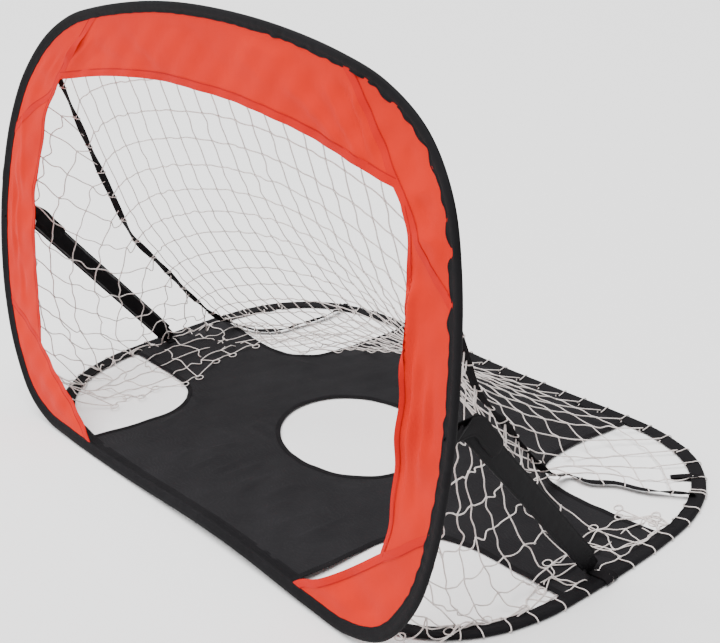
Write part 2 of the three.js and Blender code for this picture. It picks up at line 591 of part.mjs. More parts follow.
// ---------------------------------------------------------------- netting
// A sheet of square-hung netting between an edge on the front hoop and an edge on the base sleeve.
// Each cord is a flat bar, and all the bars are one body with a gap in every mesh.
function netting(name, place, [across, down]) {
  const half = NET_CORD / 2;
  const surface = (u, v) => place(Math.min(1, Math.max(0, u)), Math.min(1, Math.max(0, v)));
  const corner = (i, j, si, sj) => {
    const [u, v] = [i / across, j / down];
    const step = 0.01;
    const alongU = surface(u + step, v).sub(surface(u - step, v));
    const alongV = surface(u, v + step).sub(surface(u, v - step));
    const normal = alongU.clone().cross(alongV).normalize();
    alongU.normalize();
    alongV.addScaledVector(alongU, -alongV.dot(alongU)).normalize();
    const middle = surface(u, v).addScaledVector(alongU, si * half).addScaledVector(alongV, sj * half);
    return [middle.clone().addScaledVector(normal, half), middle.clone().addScaledVector(normal, -half)];
  };
  const position = [];
  const index = [];
  const ids = new Map();
  for (let i = 0; i <= across; i += 1) {
    for (let j = 0; j <= down; j += 1) {
      for (const si of [-1, 1]) {
        for (const sj of [-1, 1]) {
          const [over, under] = corner(i, j, si, sj);
          ids.set(`${i},${j},${si},${sj}`, position.length / 3);
          position.push(...over.toArray(), ...under.toArray());
        }
      }
    }
  }
  const id = (i, j, si, sj, side) => ids.get(`${i},${j},${si},${sj}`) + side;
  const quad = (a, b, c, d) => index.push(a, b, c, a, c, d);
  const layer = (p, q, r, s) => {
    quad(id(...p, 0), id(...q, 0), id(...r, 0), id(...s, 0));
    quad(id(...p, 1), id(...s, 1), id(...r, 1), id(...q, 1));
  };
  const wall = (p, q) => quad(id(...p, 0), id(...p, 1), id(...q, 1), id(...q, 0));
  for (let i = 0; i <= across; i += 1) {
    for (let j = 0; j <= down; j += 1) {
      layer([i, j, -1, -1], [i, j, 1, -1], [i, j, 1, 1], [i, j, -1, 1]);
      if (i < across) {
        layer([i, j, 1, -1], [i + 1, j, -1, -1], [i + 1, j, -1, 1], [i, j, 1, 1]);
        wall([i, j, 1, -1], [i + 1, j, -1, -1]);
        wall([i + 1, j, -1, 1], [i, j, 1, 1]);
      }
      if (j < down) {
        layer([i, j, -1, 1], [i, j, 1, 1], [i, j + 1, 1, -1], [i, j + 1, -1, -1]);
        wall([i, j, 1, 1], [i, j + 1, 1, -1]);
        wall([i, j + 1, -1, -1], [i, j, -1, 1]);
      }
    }
  }
  for (let i = 0; i <= across; i += 1) {
    wall([i, 0, -1, -1], [i, 0, 1, -1]);
    wall([i, down, 1, 1], [i, down, -1, 1]);
  }
  for (let j = 0; j <= down; j += 1) {
    wall([0, j, -1, 1], [0, j, -1, -1]);
    wall([across, j, 1, -1], [across, j, 1, 1]);
  }
  const geometry = new THREE.BufferGeometry();
  geometry.setAttribute('position', new THREE.Float32BufferAttribute(position, 3));
  geometry.setIndex(index);
  return named(name, facingOut(geometry), netWhite);
}

// Where the net leaves the front hoop, behind the panels, and where it is laced to the base sleeve.
const NET_BACK = CLOTH / 2 + FIT + NET_CORD * Math.SQRT1_2;
const NET_INSET = SLEEVE_WIDTH + NET_CORD + FIT;
const LACE_INSET_REAR = SLEEVE_WIDTH + 1;
const LACE_INSET_SIDE = SLEEVE_WIDTH + 12;
const LACE_HEIGHT = basePlane + SLEEVE_LIP_THICK / 2 + 2 * FIT + NET_CORD * Math.SQRT1_2;

// The side nets draw in towards the middle, but meet the rear net along the same sagging ridge.
function drape([frontFrom, frontTo], [baseFrom, baseTo], isSide) {
  return (u, v) => {
    const onHoop = frontHoop.at(frontFrom + (frontTo - frontFrom) * u, NET_INSET);
    const head = onFront(onHoop.x, onHoop.y, NET_BACK);
    const inset = isSide ? THREE.MathUtils.lerp(LACE_INSET_SIDE, LACE_INSET_REAR, u ** 4) : LACE_INSET_REAR;
    const foot = baseHoop.at(baseFrom + (baseTo - baseFrom) * u, inset);
    foot.z = LACE_HEIGHT;
    const point = head.clone().lerp(foot, v);
    const slack = Math.sin(Math.PI * v ** SAG_FORWARD) * Math.min(1, head.distanceTo(foot) / SLACK_SPAN) ** 2;
    const draw = isSide ? SIDE_NET_DRAW * Math.sin(Math.PI * u) : 0;
    point.x -= slack * draw * Math.sign(point.x);
    point.z = Math.max(point.z - slack * NET_SAG, LACE_HEIGHT);
    return point;
  };
}

// Shares of the way round each hoop where the rear net meets the side nets, and where those end.
const hoopCorner = frontHoop.nearest(FRONT_WIDTH / 2 - HOOP_CORNER_IN, FRONT_HEIGHT - HOOP_CORNER_DOWN);
const hoopFoot = frontHoop.nearest(FRONT_WIDTH / 2, NET_FOOT);
const baseCorner = baseHoop.nearest(BASE_WIDTH / 2 - BASE_CORNER_IN, BASE_DEPTH - BASE_CORNER_AHEAD);
const baseFoot = baseHoop.nearest(BASE_WIDTH / 2, NET_FOOT);
const EDGE_GAP = 0.004;            // keeps the rear net clear of the side nets

const backNet = netting('net_back', drape(
  [hoopCorner + EDGE_GAP, 1 - hoopCorner - EDGE_GAP], [baseCorner + EDGE_GAP, 1 - baseCorner - EDGE_GAP], false,
), BACK_NET_GAPS);
const rightNet = netting('net_side_right', drape(
  [hoopFoot, hoopCorner - EDGE_GAP], [baseFoot, baseCorner - EDGE_GAP], true,
), SIDE_NET_GAPS);
const leftNet = netting('net_side_left', drape(
  [1 - hoopFoot, 1 - hoopCorner + EDGE_GAP], [1 - baseFoot, 1 - baseCorner + EDGE_GAP], true,
), SIDE_NET_GAPS);

// ---------------------------------------------------------------- ridge straps
// Webbing sewn to the front sleeve's upper corner. It lies flat behind the corner panel, hangs to the
// base, and lies across the rear corner hole to the base sleeve, over the net's laced edge.
const STRAP_BACK = SLEEVE_THICK / 2 + FIT + STRAP_THICK / 2;
const STRAP_LACE_RISE = 0.9;       // extra height where the strap crosses the laced edge

function ridgeStrap(name, side, hanging, foot) {
  const t = frontHoop.nearest(side * (FRONT_WIDTH / 2 - STRAP_SEWN_IN), FRONT_HEIGHT - STRAP_SEWN_DOWN);
  const sewn = frontHoop.at(t, SLEEVE_WIDTH * 0.3);
  const pass = frontHoop.at(t, SLEEVE_WIDTH * 1.2);
  const end = baseHoop.nearest(side * (BASE_WIDTH / 2 - foot[0]), foot[1]);
  const onSleeve = (inset, rise) => {
    const p = baseHoop.at(end, inset);
    p.z = SLEEVE_THICK + FIT + STRAP_THICK / 2 + rise;
    return p;
  };
  const points = [
    onFront(sewn.x, sewn.y, STRAP_BACK),
    onFront(pass.x, pass.y, STRAP_BACK + STRAP_LACE_RISE),
    onFront(side * mouthCorner.x, mouthCorner.y + 4, STRAP_BACK + 2 * STRAP_LACE_RISE),
    ...hanging.map(([inset, y, z]) => new THREE.Vector3(side * (BASE_WIDTH / 2 - inset), y, z)),
    onSleeve(SLEEVE_WIDTH + 6, STRAP_LACE_RISE),
    onSleeve(SLEEVE_WIDTH * 0.7, STRAP_LACE_RISE),
    onSleeve(SLEEVE_WIDTH * 0.2, 0.1),
  ];
  const curve = new THREE.CatmullRomCurve3(points, false, 'centripetal');
  const stations = Array.from({ length: STRAP_STEPS + 1 }, (_, i) => {
    const share = i / STRAP_STEPS;
    const point = curve.getPointAt(share);
    const along = curve.getTangentAt(share);
    const flat = behind.clone().cross(along).normalize();
    const level = new THREE.Vector3(0, 0, 1).cross(along).normalize();
    if (flat.dot(level) < 0) flat.negate();
    const across = flat.lerp(level, THREE.MathUtils.smoothstep(share, 0.12, 0.35));
    across.addScaledVector(along, -across.dot(along)).normalize();
    return { point, a: across, b: along.clone().cross(across).normalize() };
  });
  const [w, t2] = [STRAP_WIDTH / 2, STRAP_THICK / 2];
  return named(name, sweep(stations, [[-w, -t2], [w, -t2], [w, t2], [-w, t2]], false), black);
}

// Points down each strap where it hangs free and lies over the corner hole: in from the base's side,
// back from the seam, and up from the floor. The feet have only the first two.
const HANGING_LEFT = [
  [140, 140, 490], [130, 185, 385], [122, 230, 290], [113, 300, 195], [103, 375, 105], [95, 440, 45],
  [88, 492, 16], [98, 522, 9], [125, 560, 8], [133, 610, 8], [138, 660, 9],
];
const HANGING_RIGHT = [
  [140, 140, 490], [133, 190, 385], [135, 245, 290], [143, 320, 205], [153, 400, 120], [165, 470, 55],
  [173, 530, 16], [165, 560, 8], [135, 585, 8], [103, 597, 9],
];
const FOOT_LEFT = [122, 748];
const FOOT_RIGHT = [33, 645];

const goal = new THREE.Group();
goal.add(
  base, front, strut(-1, 'left'), strut(1, 'right'), strutTab(-1, 'left'), strutTab(1, 'right'),
  backNet, leftNet, rightNet,
  ridgeStrap('ridge_strap_left', -1, HANGING_LEFT, FOOT_LEFT),
  ridgeStrap('ridge_strap_right', 1, HANGING_RIGHT, FOOT_RIGHT),
);

// The footprint runs from the front sleeve's face to the base sleeve's rear.
const footprintFront = frontOrigin.y - (SLEEVE_THICK / 2) * Math.sin(lean);
goal.position.y = -(footprintFront + BASE_DEPTH * 0.998) / 2;

export default goal;
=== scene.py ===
"""A pop-up target goal: the looks of its fabric, webbing and netting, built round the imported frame.

Lengths below are in millimetres unless a name says otherwise. Y is measured back from the front edge of
the base, and in_frame() turns such points into the frame's metres.
"""

import json
import math

import bmesh
import bpy
import numpy as np
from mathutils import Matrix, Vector
from mathutils.geometry import delaunay_2d_cdt


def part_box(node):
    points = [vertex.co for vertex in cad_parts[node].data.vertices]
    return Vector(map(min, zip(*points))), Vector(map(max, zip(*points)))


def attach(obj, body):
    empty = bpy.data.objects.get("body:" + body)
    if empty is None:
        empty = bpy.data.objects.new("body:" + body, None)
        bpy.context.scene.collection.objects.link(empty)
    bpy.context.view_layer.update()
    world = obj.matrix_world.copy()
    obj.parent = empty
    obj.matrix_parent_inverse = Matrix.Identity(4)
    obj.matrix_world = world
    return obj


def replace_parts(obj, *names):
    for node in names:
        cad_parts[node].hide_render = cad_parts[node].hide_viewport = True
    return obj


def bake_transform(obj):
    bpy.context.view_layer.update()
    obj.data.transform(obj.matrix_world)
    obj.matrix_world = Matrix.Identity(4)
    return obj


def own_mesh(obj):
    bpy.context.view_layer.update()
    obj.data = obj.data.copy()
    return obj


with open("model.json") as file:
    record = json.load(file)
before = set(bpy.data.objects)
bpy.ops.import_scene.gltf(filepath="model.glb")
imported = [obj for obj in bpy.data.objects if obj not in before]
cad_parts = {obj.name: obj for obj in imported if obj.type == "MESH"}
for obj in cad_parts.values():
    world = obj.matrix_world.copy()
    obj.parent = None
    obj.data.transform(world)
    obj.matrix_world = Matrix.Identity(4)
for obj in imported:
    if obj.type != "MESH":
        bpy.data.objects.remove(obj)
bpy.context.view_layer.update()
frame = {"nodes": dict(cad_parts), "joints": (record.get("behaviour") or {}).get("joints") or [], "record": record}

# ---------------------------------------------------------------- driving dimensions
METRE = 1000
BASE_LOW, BASE_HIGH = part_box("base_sleeve")
FRONT_LOW, FRONT_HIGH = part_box("front_sleeve")
SEAM_Y = BASE_LOW.y * METRE  # the base's front edge in the frame
BASE_WIDTH = (BASE_HIGH.x - BASE_LOW.x) * METRE
FRONT_WIDTH = (FRONT_HIGH.x - FRONT_LOW.x) * METRE
BASE_DEPTH = 784
FRONT_HEIGHT = 773
FRONT_LEAN = math.radians(81.9)
SLEEVE_WIDTH = 24
SLEEVE_THICK = 9
CLOTH = 0.7
BASE_PLANE = SLEEVE_THICK / 2
HOOP_SWAY = 9  # the sprung front hoop leans this far to the left at mid height,
HOOP_SKEW = 6  # stands this much higher on its right,
HOOP_BOW = 10  # and bows this far forward at its sides,
BOW_RIGHT = 0.4  # by this share more on the right

# Right half of each outline, from the middle of the seam to the middle of the far side, as shares of
# the half width and of the height or depth.
FRONT_SHAPE = [
    (0, 0), (0.3, 0), (0.58, 0), (0.72, 0.005), (0.84, 0.042), (0.932, 0.135), (0.979, 0.25),
    (0.998, 0.37), (0.998, 0.478), (0.98, 0.587), (0.945, 0.696), (0.885, 0.8), (0.787, 0.884),
    (0.65, 0.939), (0.5, 0.967), (0.25, 0.992), (0, 1),
]
BASE_SHAPE = [
    (0, 0), (0.3, 0), (0.5, 0.004), (0.667, 0.023), (0.82, 0.075), (0.924, 0.165), (0.978, 0.275),
    (0.994, 0.39), (1, 0.5), (1, 0.62), (0.985, 0.736), (0.929, 0.846), (0.823, 0.935), (0.669, 0.985),
    (0.5, 0.998), (0.25, 0.996), (0, 0.99),
]

# ---------------------------------------------------------------- the frame's planes
fold = next(joint for joint in frame["joints"] if joint["name"] == "front_fold")
FOLD_POINT = Vector(fold["pos_m"]) * METRE
FOLD_UP = 9.15  # the fold's axis is this far up the front plane
FOLD_BACK = 4.8  # and this far behind it
UP = np.array([0, math.cos(FRONT_LEAN), math.sin(FRONT_LEAN)])
BEHIND = np.array([0, math.sin(FRONT_LEAN), -math.cos(FRONT_LEAN)])
FRONT_ORIGIN = np.array([0, FOLD_POINT.y - SEAM_Y, FOLD_POINT.z]) - FOLD_UP * UP - FOLD_BACK * BEHIND


def in_frame(points):
    """Points in millimetres, y from the base's front edge, as metres in the frame."""
    moved = np.array(points, float).reshape(-1, 3)
    moved[:, 1] += SEAM_Y
    return moved / METRE


# Where the front hoop is pushed out of its even shape: x, up, how far across and up, and the reach of it.
HOOP_PUSHES = [
    (-480, 690, 9, -5, 130), (-120, 773, 0, 5, 170), (480, 640, 3, 2, 150), (-470, 80, 6, 5, 130),
]
SEAM_LIFT, SEAM_BACK = 9, 5  # the taut hoops arch up along the fold, and a little back
SEAM_CREST, SEAM_REACH = 110, 210  # where along it, and how wide
ARCH_FRONT, ARCH_BASE = 150, 110  # how far from the fold the arch dies away
REAR_PULL = 14  # the rear of the base is drawn in
SIDE_PUSH = 5  # and its right side out


def seam_arch(x, away, reach):
    """How much of the arch is left at a distance from the fold."""
    return np.exp(-((x - SEAM_CREST) / SEAM_REACH) ** 2 - (away / reach) ** 2)


def on_front(x, up, back=0.0):
    """Points of the leaning front, whose sprung hoop is a little bowed: x, up the front, and behind it."""
    x, up, back = np.broadcast_arrays(np.asarray(x, float), up, back)
    rise = np.sin(math.pi * np.clip(up / FRONT_HEIGHT, 0, 1))
    share = x / (FRONT_WIDTH / 2)
    raised = up + HOOP_SKEW * np.sin(math.pi * share) * smoothstep(up, 0.4 * FRONT_HEIGHT, FRONT_HEIGHT)
    shifted = x - HOOP_SWAY * rise
    for at_x, at_up, push_x, push_up, reach in HOOP_PUSHES:
        near = np.exp(-((x - at_x) ** 2 + (up - at_up) ** 2) / reach**2)
        shifted = shifted + push_x * near
        raised = raised + push_up * near
    bowed = back - HOOP_BOW * (1 + BOW_RIGHT * share) * rise * share**2
    points = FRONT_ORIGIN + raised[..., None] * UP + bowed[..., None] * BEHIND
    points[..., 0] = shifted
    arch = seam_arch(x, up, ARCH_FRONT)
    points[..., 1] += SEAM_BACK * arch
    points[..., 2] += SEAM_LIFT * arch
    return points


def on_base(x, y, above=0.0):
    """Points of the base's middle plane, and above it, with the hoop's slack shape on the floor."""
    x, y, above = np.broadcast_arrays(np.asarray(x, float), y, above)
    arch = seam_arch(x, y, ARCH_BASE)
    across = x + SIDE_PUSH * smoothstep(x, 300, 520) * smoothstep(y, 20, 110)
    along = y + SEAM_BACK * arch - REAR_PULL * smoothstep(y, 560, 760) * smoothstep(-x, -480, -150)
    return np.stack([across, along, BASE_PLANE + above + SEAM_LIFT * arch], axis=-1)


# ---------------------------------------------------------------- curves
def smooth_curve(knots, closed=False, steps=24):
    """A centripetal Catmull-Rom curve through the knots, as many points."""
    knots = np.asarray(knots, float)
    if closed:
        padded = np.vstack([knots[-1:], knots, knots[:2]])
    else:
        padded = np.vstack([2 * knots[0] - knots[1], knots, 2 * knots[-1] - knots[-2]])
    found = []
    share = (np.arange(steps) / steps)[:, None]
    for p0, p1, p2, p3 in zip(padded, padded[1:], padded[2:], padded[3:]):
        d0, d1, d2 = (max(np.linalg.norm(b - a), 1e-6) ** 0.5 for a, b in ((p0, p1), (p1, p2), (p2, p3)))
        leave = d1 * ((p1 - p0) / d0 - (p2 - p0) / (d0 + d1) + (p2 - p1) / d1)
        reach = d1 * ((p2 - p1) / d1 - (p3 - p1) / (d1 + d2) + (p3 - p2) / d2)
        bend = -3 * p1 + 3 * p2 - 2 * leave - reach
        twist = 2 * p1 - 2 * p2 + leave + reach
        found.append(p1 + share * leave + share**2 * bend + share**3 * twist)
    if not closed:
        found.append(knots[-1:])
    return np.vstack(found)


def evenly(points, count, closed=False):
    """The same line as count points at equal steps."""
    line = np.vstack([points, points[:1]]) if closed else np.asarray(points, float)
    reached = np.concatenate([[0], np.cumsum(np.linalg.norm(np.diff(line, axis=0), axis=1))])
    wanted = np.linspace(0, reached[-1], count + 1)[:-1] if closed else np.linspace(0, reached[-1], count)
    return np.stack([np.interp(wanted, reached, line[:, k]) for k in range(line.shape[1])], axis=1)


def length_of(points):
    return float(np.linalg.norm(np.diff(points, axis=0), axis=1).sum())


def smoothstep(value, low, high):
    t = np.clip((np.asarray(value, float) - low) / (high - low), 0, 1)
    return t * t * (3 - 2 * t)


class Hoop:
    """A closed outline in its own plane. A share t runs once round from the middle of the seam."""

    SAMPLES = 7200

    def __init__(self, shape, width, length):
        right = np.array(shape) * (width / 2, length)
        left = (right[1:-1] * (-1, 1))[::-1]
        self.line = evenly(smooth_curve(np.vstack([right, left]), closed=True), self.SAMPLES, closed=True)
        along = np.roll(self.line, -1, axis=0) - np.roll(self.line, 1, axis=0)
        self.along = along / np.linalg.norm(along, axis=1)[:, None]
        self.round = length_of(np.vstack([self.line, self.line[:1]]))

    def at(self, t, inset=0.0):
        place = (np.asarray(t, float) % 1) * self.SAMPLES
        low = np.floor(place).astype(int) % self.SAMPLES
        part = (place - np.floor(place))[..., None]
        high = (low + 1) % self.SAMPLES
        point = self.line[low] * (1 - part) + self.line[high] * part
        along = self.along[low] * (1 - part) + self.along[high] * part
        inward = np.stack([-along[..., 1], along[..., 0]], axis=-1)
        return point + np.asarray(inset, float)[..., None] * inward

    def nearest(self, x, y, inset=0.0):
        every = np.arange(self.SAMPLES) / self.SAMPLES
        gap = np.linalg.norm(self.at(every, inset) - (x, y), axis=1)
        return float(every[gap.argmin()])

    def edge(self, start, end, inset, steps):
        span = ((end - start) % 1) or 1
        return self.at(start + span * np.arange(steps + 1) / steps, inset)


front_hoop = Hoop(FRONT_SHAPE, FRONT_WIDTH, FRONT_HEIGHT)
base_hoop = Hoop(BASE_SHAPE, BASE_WIDTH, BASE_DEPTH)


def waves(seed, values, lengths, size, period=None):
    """A seeded sum of waves along a line. With a period, it closes on itself."""
    chance = np.random.default_rng(seed)
    total = np.zeros_like(np.asarray(values, float))
    for wanted in lengths:
        length = period / max(1, round(period / wanted)) if period else wanted
        total += chance.uniform(0.5, 1) * np.sin(2 * math.pi * (values / length + chance.random()))
    return size * total / len(lengths)


def ripples(seed, x, y, lengths, size):
    """A seeded sum of plane waves in all directions."""
    chance = np.random.default_rng(seed)
    total = np.zeros_like(np.asarray(x, float))
    for wanted in lengths:
        turn = chance.uniform(0, 2 * math.pi)
        along = x * math.cos(turn) + y * math.sin(turn)
        total += np.sin(2 * math.pi * (along / wanted + chance.random()))
    return size * total / math.sqrt(len(lengths))


CREASE_END = 0.35  # a crease fades in and out over this share of its length


def creases(x, y, lines):
    """Folds along lines: each is x1, y1, x2, y2, height and half width, and fades at its ends."""
    total = np.zeros_like(np.asarray(x, float))
    for x1, y1, x2, y2, height, half in lines:
        along = np.array([x2 - x1, y2 - y1], float)
        length = np.linalg.norm(along)
        along /= length
        reach = (x - x1) * along[0] + (y - y1) * along[1]
        off = np.abs((y - y1) * along[0] - (x - x1) * along[1])
        end = CREASE_END * length
        fade = smoothstep(reach, 0, end) * smoothstep(length - reach, 0, end)
        total += height * fade / (1 + (off / half) ** 2)
    return total


# ---------------------------------------------------------------- meshes
def add_object(name, data):
    """A new object in the scene."""
    made = bpy.data.objects.new(name, data)
    bpy.context.scene.collection.objects.link(made)
    return made


def make_object(name, points, faces, slot, body=None, sharp=None, finish=None):
    """A smooth mesh of points in millimetres, riding on a body. Its finish is its slot's if none is given."""
    mesh = bpy.data.meshes.new(name)
    mesh.from_pydata([tuple(p) for p in in_frame(points)], [], [tuple(int(i) for i in f) for f in faces])
    mesh.validate()
    mesh.update()
    turned = bmesh.new()
    turned.from_mesh(mesh)
    bmesh.ops.recalc_face_normals(turned, faces=turned.faces)
    turned.to_mesh(mesh)
    turned.free()
    mesh.polygons.foreach_set("use_smooth", [True] * len(mesh.polygons))
    if sharp:
        mesh.set_sharp_from_angle(angle=math.radians(sharp))
    made = add_object(name, mesh)
    mesh.materials.append(MATERIALS[finish or slot])
    if body:
        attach(made, body)
    return made


def loft(rings, closed_length=False, first=0):
    """Faces that join rings of points, each a closed loop of the same count, with flat ends."""
    count, sides = rings.shape[:2]
    faces = []
    for i in range(count if closed_length else count - 1):
        here, there = first + i * sides, first + ((i + 1) % count) * sides
        for j in range(sides):
            k = (j + 1) % sides
            faces.append((here + j, here + k, there + k, there + j))
    if not closed_length:
        faces.append(tuple(first + j for j in reversed(range(sides))))
        faces.append(tuple(first + (count - 1) * sides + j for j in range(sides)))
    return faces


def lofted(name, rings, slot, body=None, closed=False, sharp=None, finish=None):
    """A mesh that joins rings of points."""
    return make_object(name, rings.reshape(-1, 3), loft(rings, closed), slot, body, sharp, finish)


def directions(points, closed=False):
    if closed:
        along = np.roll(points, -1, axis=0) - np.roll(points, 1, axis=0)
    else:
        along = np.gradient(points, axis=0)
    return along / np.maximum(np.linalg.norm(along, axis=1), 1e-9)[:, None]


def both_faces(upper):
    """A section that mirrors its upper half."""
    return np.array(upper + [(u, -v) for u, v in reversed(upper)])


# Half width and half thickness shares round a strip with round edges and a dent along each row of stitches.
RIBBON_SECTION = both_faces([
    (-1, 0.35), (-0.95, 0.9), (-0.86, 1), (-0.78, 1), (-0.72, 0.8), (-0.66, 1), (0.66, 1), (0.72, 0.8),
    (0.78, 1), (0.86, 1), (0.95, 0.9), (1, 0.35),
])
RIBBON_SHARP = 50  # degrees


def ribbon(name, points, across, width, thick, slot, body=None, finish=None, closed=False):
    """Flat webbing along points. Across is the direction of its width, and it and the width may vary."""
    along = directions(points, closed)
    across = across - (across * along).sum(1)[:, None] * along
    across /= np.linalg.norm(across, axis=1)[:, None]
    through = np.cross(along, across)
    half = np.broadcast_to(np.asarray(width, float) / 2, (len(points),))
    rings = (
        points[:, None, :]
        + (half[:, None] * RIBBON_SECTION[None, :, 0])[..., None] * across[:, None, :]
        + (thick / 2 * RIBBON_SECTION[None, :, 1])[..., None] * through[:, None, :]
    )
    return lofted(name, rings, slot, body, closed, RIBBON_SHARP, finish)


def strip(name, line, shift, width, thick, place, slot, body, finish=None, closed=False):
    """Flat tape on a curved surface, along a line of it that is shifted to the line's left. Place lays it."""
    ahead = directions(line, closed)
    left = np.stack([-ahead[:, 1], ahead[:, 0]], axis=1)
    middle = line + shift * left
    points = place(middle)
    return ribbon(name, points, place(middle + left) - points, width, thick, slot, body, finish, closed)


def tube_rings(points, radius, sides=6):
    """Rings round a line, turned as little as may be from one to the next. The radius may vary."""
    along = directions(points)
    side = np.cross(along[0], (0.3, 0.5, 0.8))
    rings = []
    turn = 2 * math.pi * np.arange(sides) / sides
    radii = np.broadcast_to(np.asarray(radius, float), (len(points),))
    for point, ahead, size in zip(points, along, radii):
        side = side - ahead * side.dot(ahead)
        side /= np.linalg.norm(side)
        other = np.cross(ahead, side)
        rings.append(point + size * (np.cos(turn)[:, None] * side + np.sin(turn)[:, None] * other))
    return np.array(rings)


def inside(points, loop):
    """Which points lie inside a closed loop."""
    hit = np.zeros(len(points), bool)
    x, y = points[:, 0], points[:, 1]
    for (x1, y1), (x2, y2) in zip(loop, np.roll(loop, -1, axis=0)):
        if y1 != y2:
            hit ^= ((y1 > y) != (y2 > y)) & (x < (x2 - x1) * (y - y1) / (y2 - y1) + x1)
    return hit


def kept(points, loops):
    """Which points lie inside the first loop and outside the others."""
    keep = inside(points, loops[0])
    for hole in loops[1:]:
        keep &= ~inside(points, hole)
    return keep


def gap_to(points, others):
    """How far each flat point lies from the nearest of some others, worked out a batch at a time."""
    batch = 2000
    gap = np.empty(len(points))
    for start in range(0, len(points), batch):
        part = points[start:start + batch]
        gap[start:start + batch] = np.sqrt(((part[:, None] - others[None]) ** 2).sum(2).min(1))
    return gap


ROW_SHARE = 0.87  # the rows of a triangle grid lie this share of a step apart
CLEAR_SHARE = 0.6  # and its points stay this share of a step clear of the border


def fill(outline, holes, step):
    """Flat triangles of about one step that fill an outline round its holes."""
    loops = [evenly(loop, max(8, round(length_of(loop) / step)), closed=True) for loop in [outline, *holes]]
    low, high = outline.min(0), outline.max(0)
    grid = []
    for i, y in enumerate(np.arange(low[1], high[1], step * ROW_SHARE)):
        xs = np.arange(low[0] + (i % 2) * step / 2, high[0], step)
        grid.append(np.stack([xs, np.full_like(xs, y)], axis=1))
    grid = np.vstack(grid)
    grid = grid[kept(grid, loops)]
    border = np.vstack(loops)
    grid = grid[gap_to(grid, border) >= CLEAR_SHARE * step]
    edges, first = [], 0
    for loop in loops:
        edges += [(first + i, first + (i + 1) % len(loop)) for i in range(len(loop))]
        first += len(loop)
    found = delaunay_2d_cdt([Vector(p) for p in np.vstack([border, grid])], edges, [], 1, 1e-4)
    corners = np.array([tuple(v) for v in found[0]])
    faces = np.array([f for f in found[2] if len(f) == 3])
    return corners, faces[kept(corners[faces].mean(1), loops)]


CLOTH_SHARP = 60  # degrees


def cloth(name, outline, holes, step, lift, place, slot, body):
    """A thin sheet that fills an outline, lifted from its plane by lift(x, y), with closed edges."""
    corners, faces = fill(np.asarray(outline, float), holes, step)
    raised = lift(*corners.T)
    upper, lower = (place(*corners.T, raised + half) for half in (CLOTH / 2, -CLOTH / 2))
    count = len(corners)
    used = dict.fromkeys(edge for a, b, c in faces for edge in ((a, b), (b, c), (c, a)))
    walls = [(a, b, b + count, a + count) for a, b in used if (b, a) not in used]
    back = [(c + count, b + count, a + count) for a, b, c in faces]
    faces_all = [*map(tuple, faces), *back, *walls]
    made = make_object(name, np.vstack([upper, lower]), faces_all, slot, body, CLOTH_SHARP)
    ab = corners[faces[:, 1]] - corners[faces[:, 0]]
    ac = corners[faces[:, 2]] - corners[faces[:, 0]]
    area = np.abs(ab[:, 0] * ac[:, 1] - ab[:, 1] * ac[:, 0]).sum() / 2
    return made, area / METRE**2, cut_from(corners)


def cut_from(points):
    """Width and length in metres of the smallest rectangle that a flat shape is cut from."""
    found = []
    for turn in np.radians(np.arange(0, 90, 1.5)):
        along = points @ np.array([math.cos(turn), math.sin(turn)])
        across = points @ np.array([-math.sin(turn), math.cos(turn)])
        found.append((np.ptp(along), np.ptp(across)))
    width, length = min(found, key=lambda size: size[0] * size[1])
    return float(width) / METRE, float(length) / METRE


# ---------------------------------------------------------------- materials
def linear(red, green, blue):
    """An everyday 0 to 255 colour as the shader's numbers."""
    shares = (c / 255 for c in (red, green, blue))
    return tuple(c / 12.92 if c <= 0.04 else ((c + 0.055) / 1.055) ** 2.4 for c in shares)


def node_tree(name):
    """A new material, its nodes and its shader."""
    made = bpy.data.materials.new(name)
    made.use_nodes = True
    return made, made.node_tree, made.node_tree.nodes["Principled BSDF"]


def add_node(tree, kind, **inputs):
    """A new node. Each input is a value or another node's output, and underscores stand for spaces."""
    made = tree.nodes.new(kind)
    for name, value in inputs.items():
        socket = made.inputs[name.replace("_", " ")]
        if isinstance(value, bpy.types.NodeSocket):
            tree.links.new(value, socket)
        else:
            socket.default_value = value
    return made


def mottled(tree, shader, light, dark, scale, rough_low, rough_high):
    """Colour and roughness that drift between two values over the surface."""
    place = add_node(tree, "ShaderNodeTexCoord")
    noise = add_node(tree, "ShaderNodeTexNoise", Scale=scale, Detail=5, Vector=place.outputs["Object"])
    ramp = add_node(tree, "ShaderNodeValToRGB", Fac=noise.outputs["Fac"])
    for end, position, colour in zip(ramp.color_ramp.elements, (0.3, 0.7), (dark, light)):
        end.position = position
        end.color = (*colour, 1)
    tree.links.new(ramp.outputs["Color"], shader.inputs["Base Color"])
    rough = add_node(tree, "ShaderNodeMapRange", Value=noise.outputs["Fac"], To_Min=rough_low,
                     To_Max=rough_high)
    tree.links.new(rough.outputs["Result"], shader.inputs["Roughness"])
    return place


def bands(tree, place, direction, scale, distortion, detail):
    """A wave over the surface in one direction."""
    wave = add_node(tree, "ShaderNodeTexWave", Vector=place, Scale=scale, Distortion=distortion,
                    Detail=detail)
    wave.bands_direction = direction
    return wave.outputs["Fac"]


CLOTH_SPECULAR = 0.08
THREAD_TURN = math.radians(8)
WAVE_LENGTH = 2 * math.pi / 20  # of a wave texture, in metres at scale 1


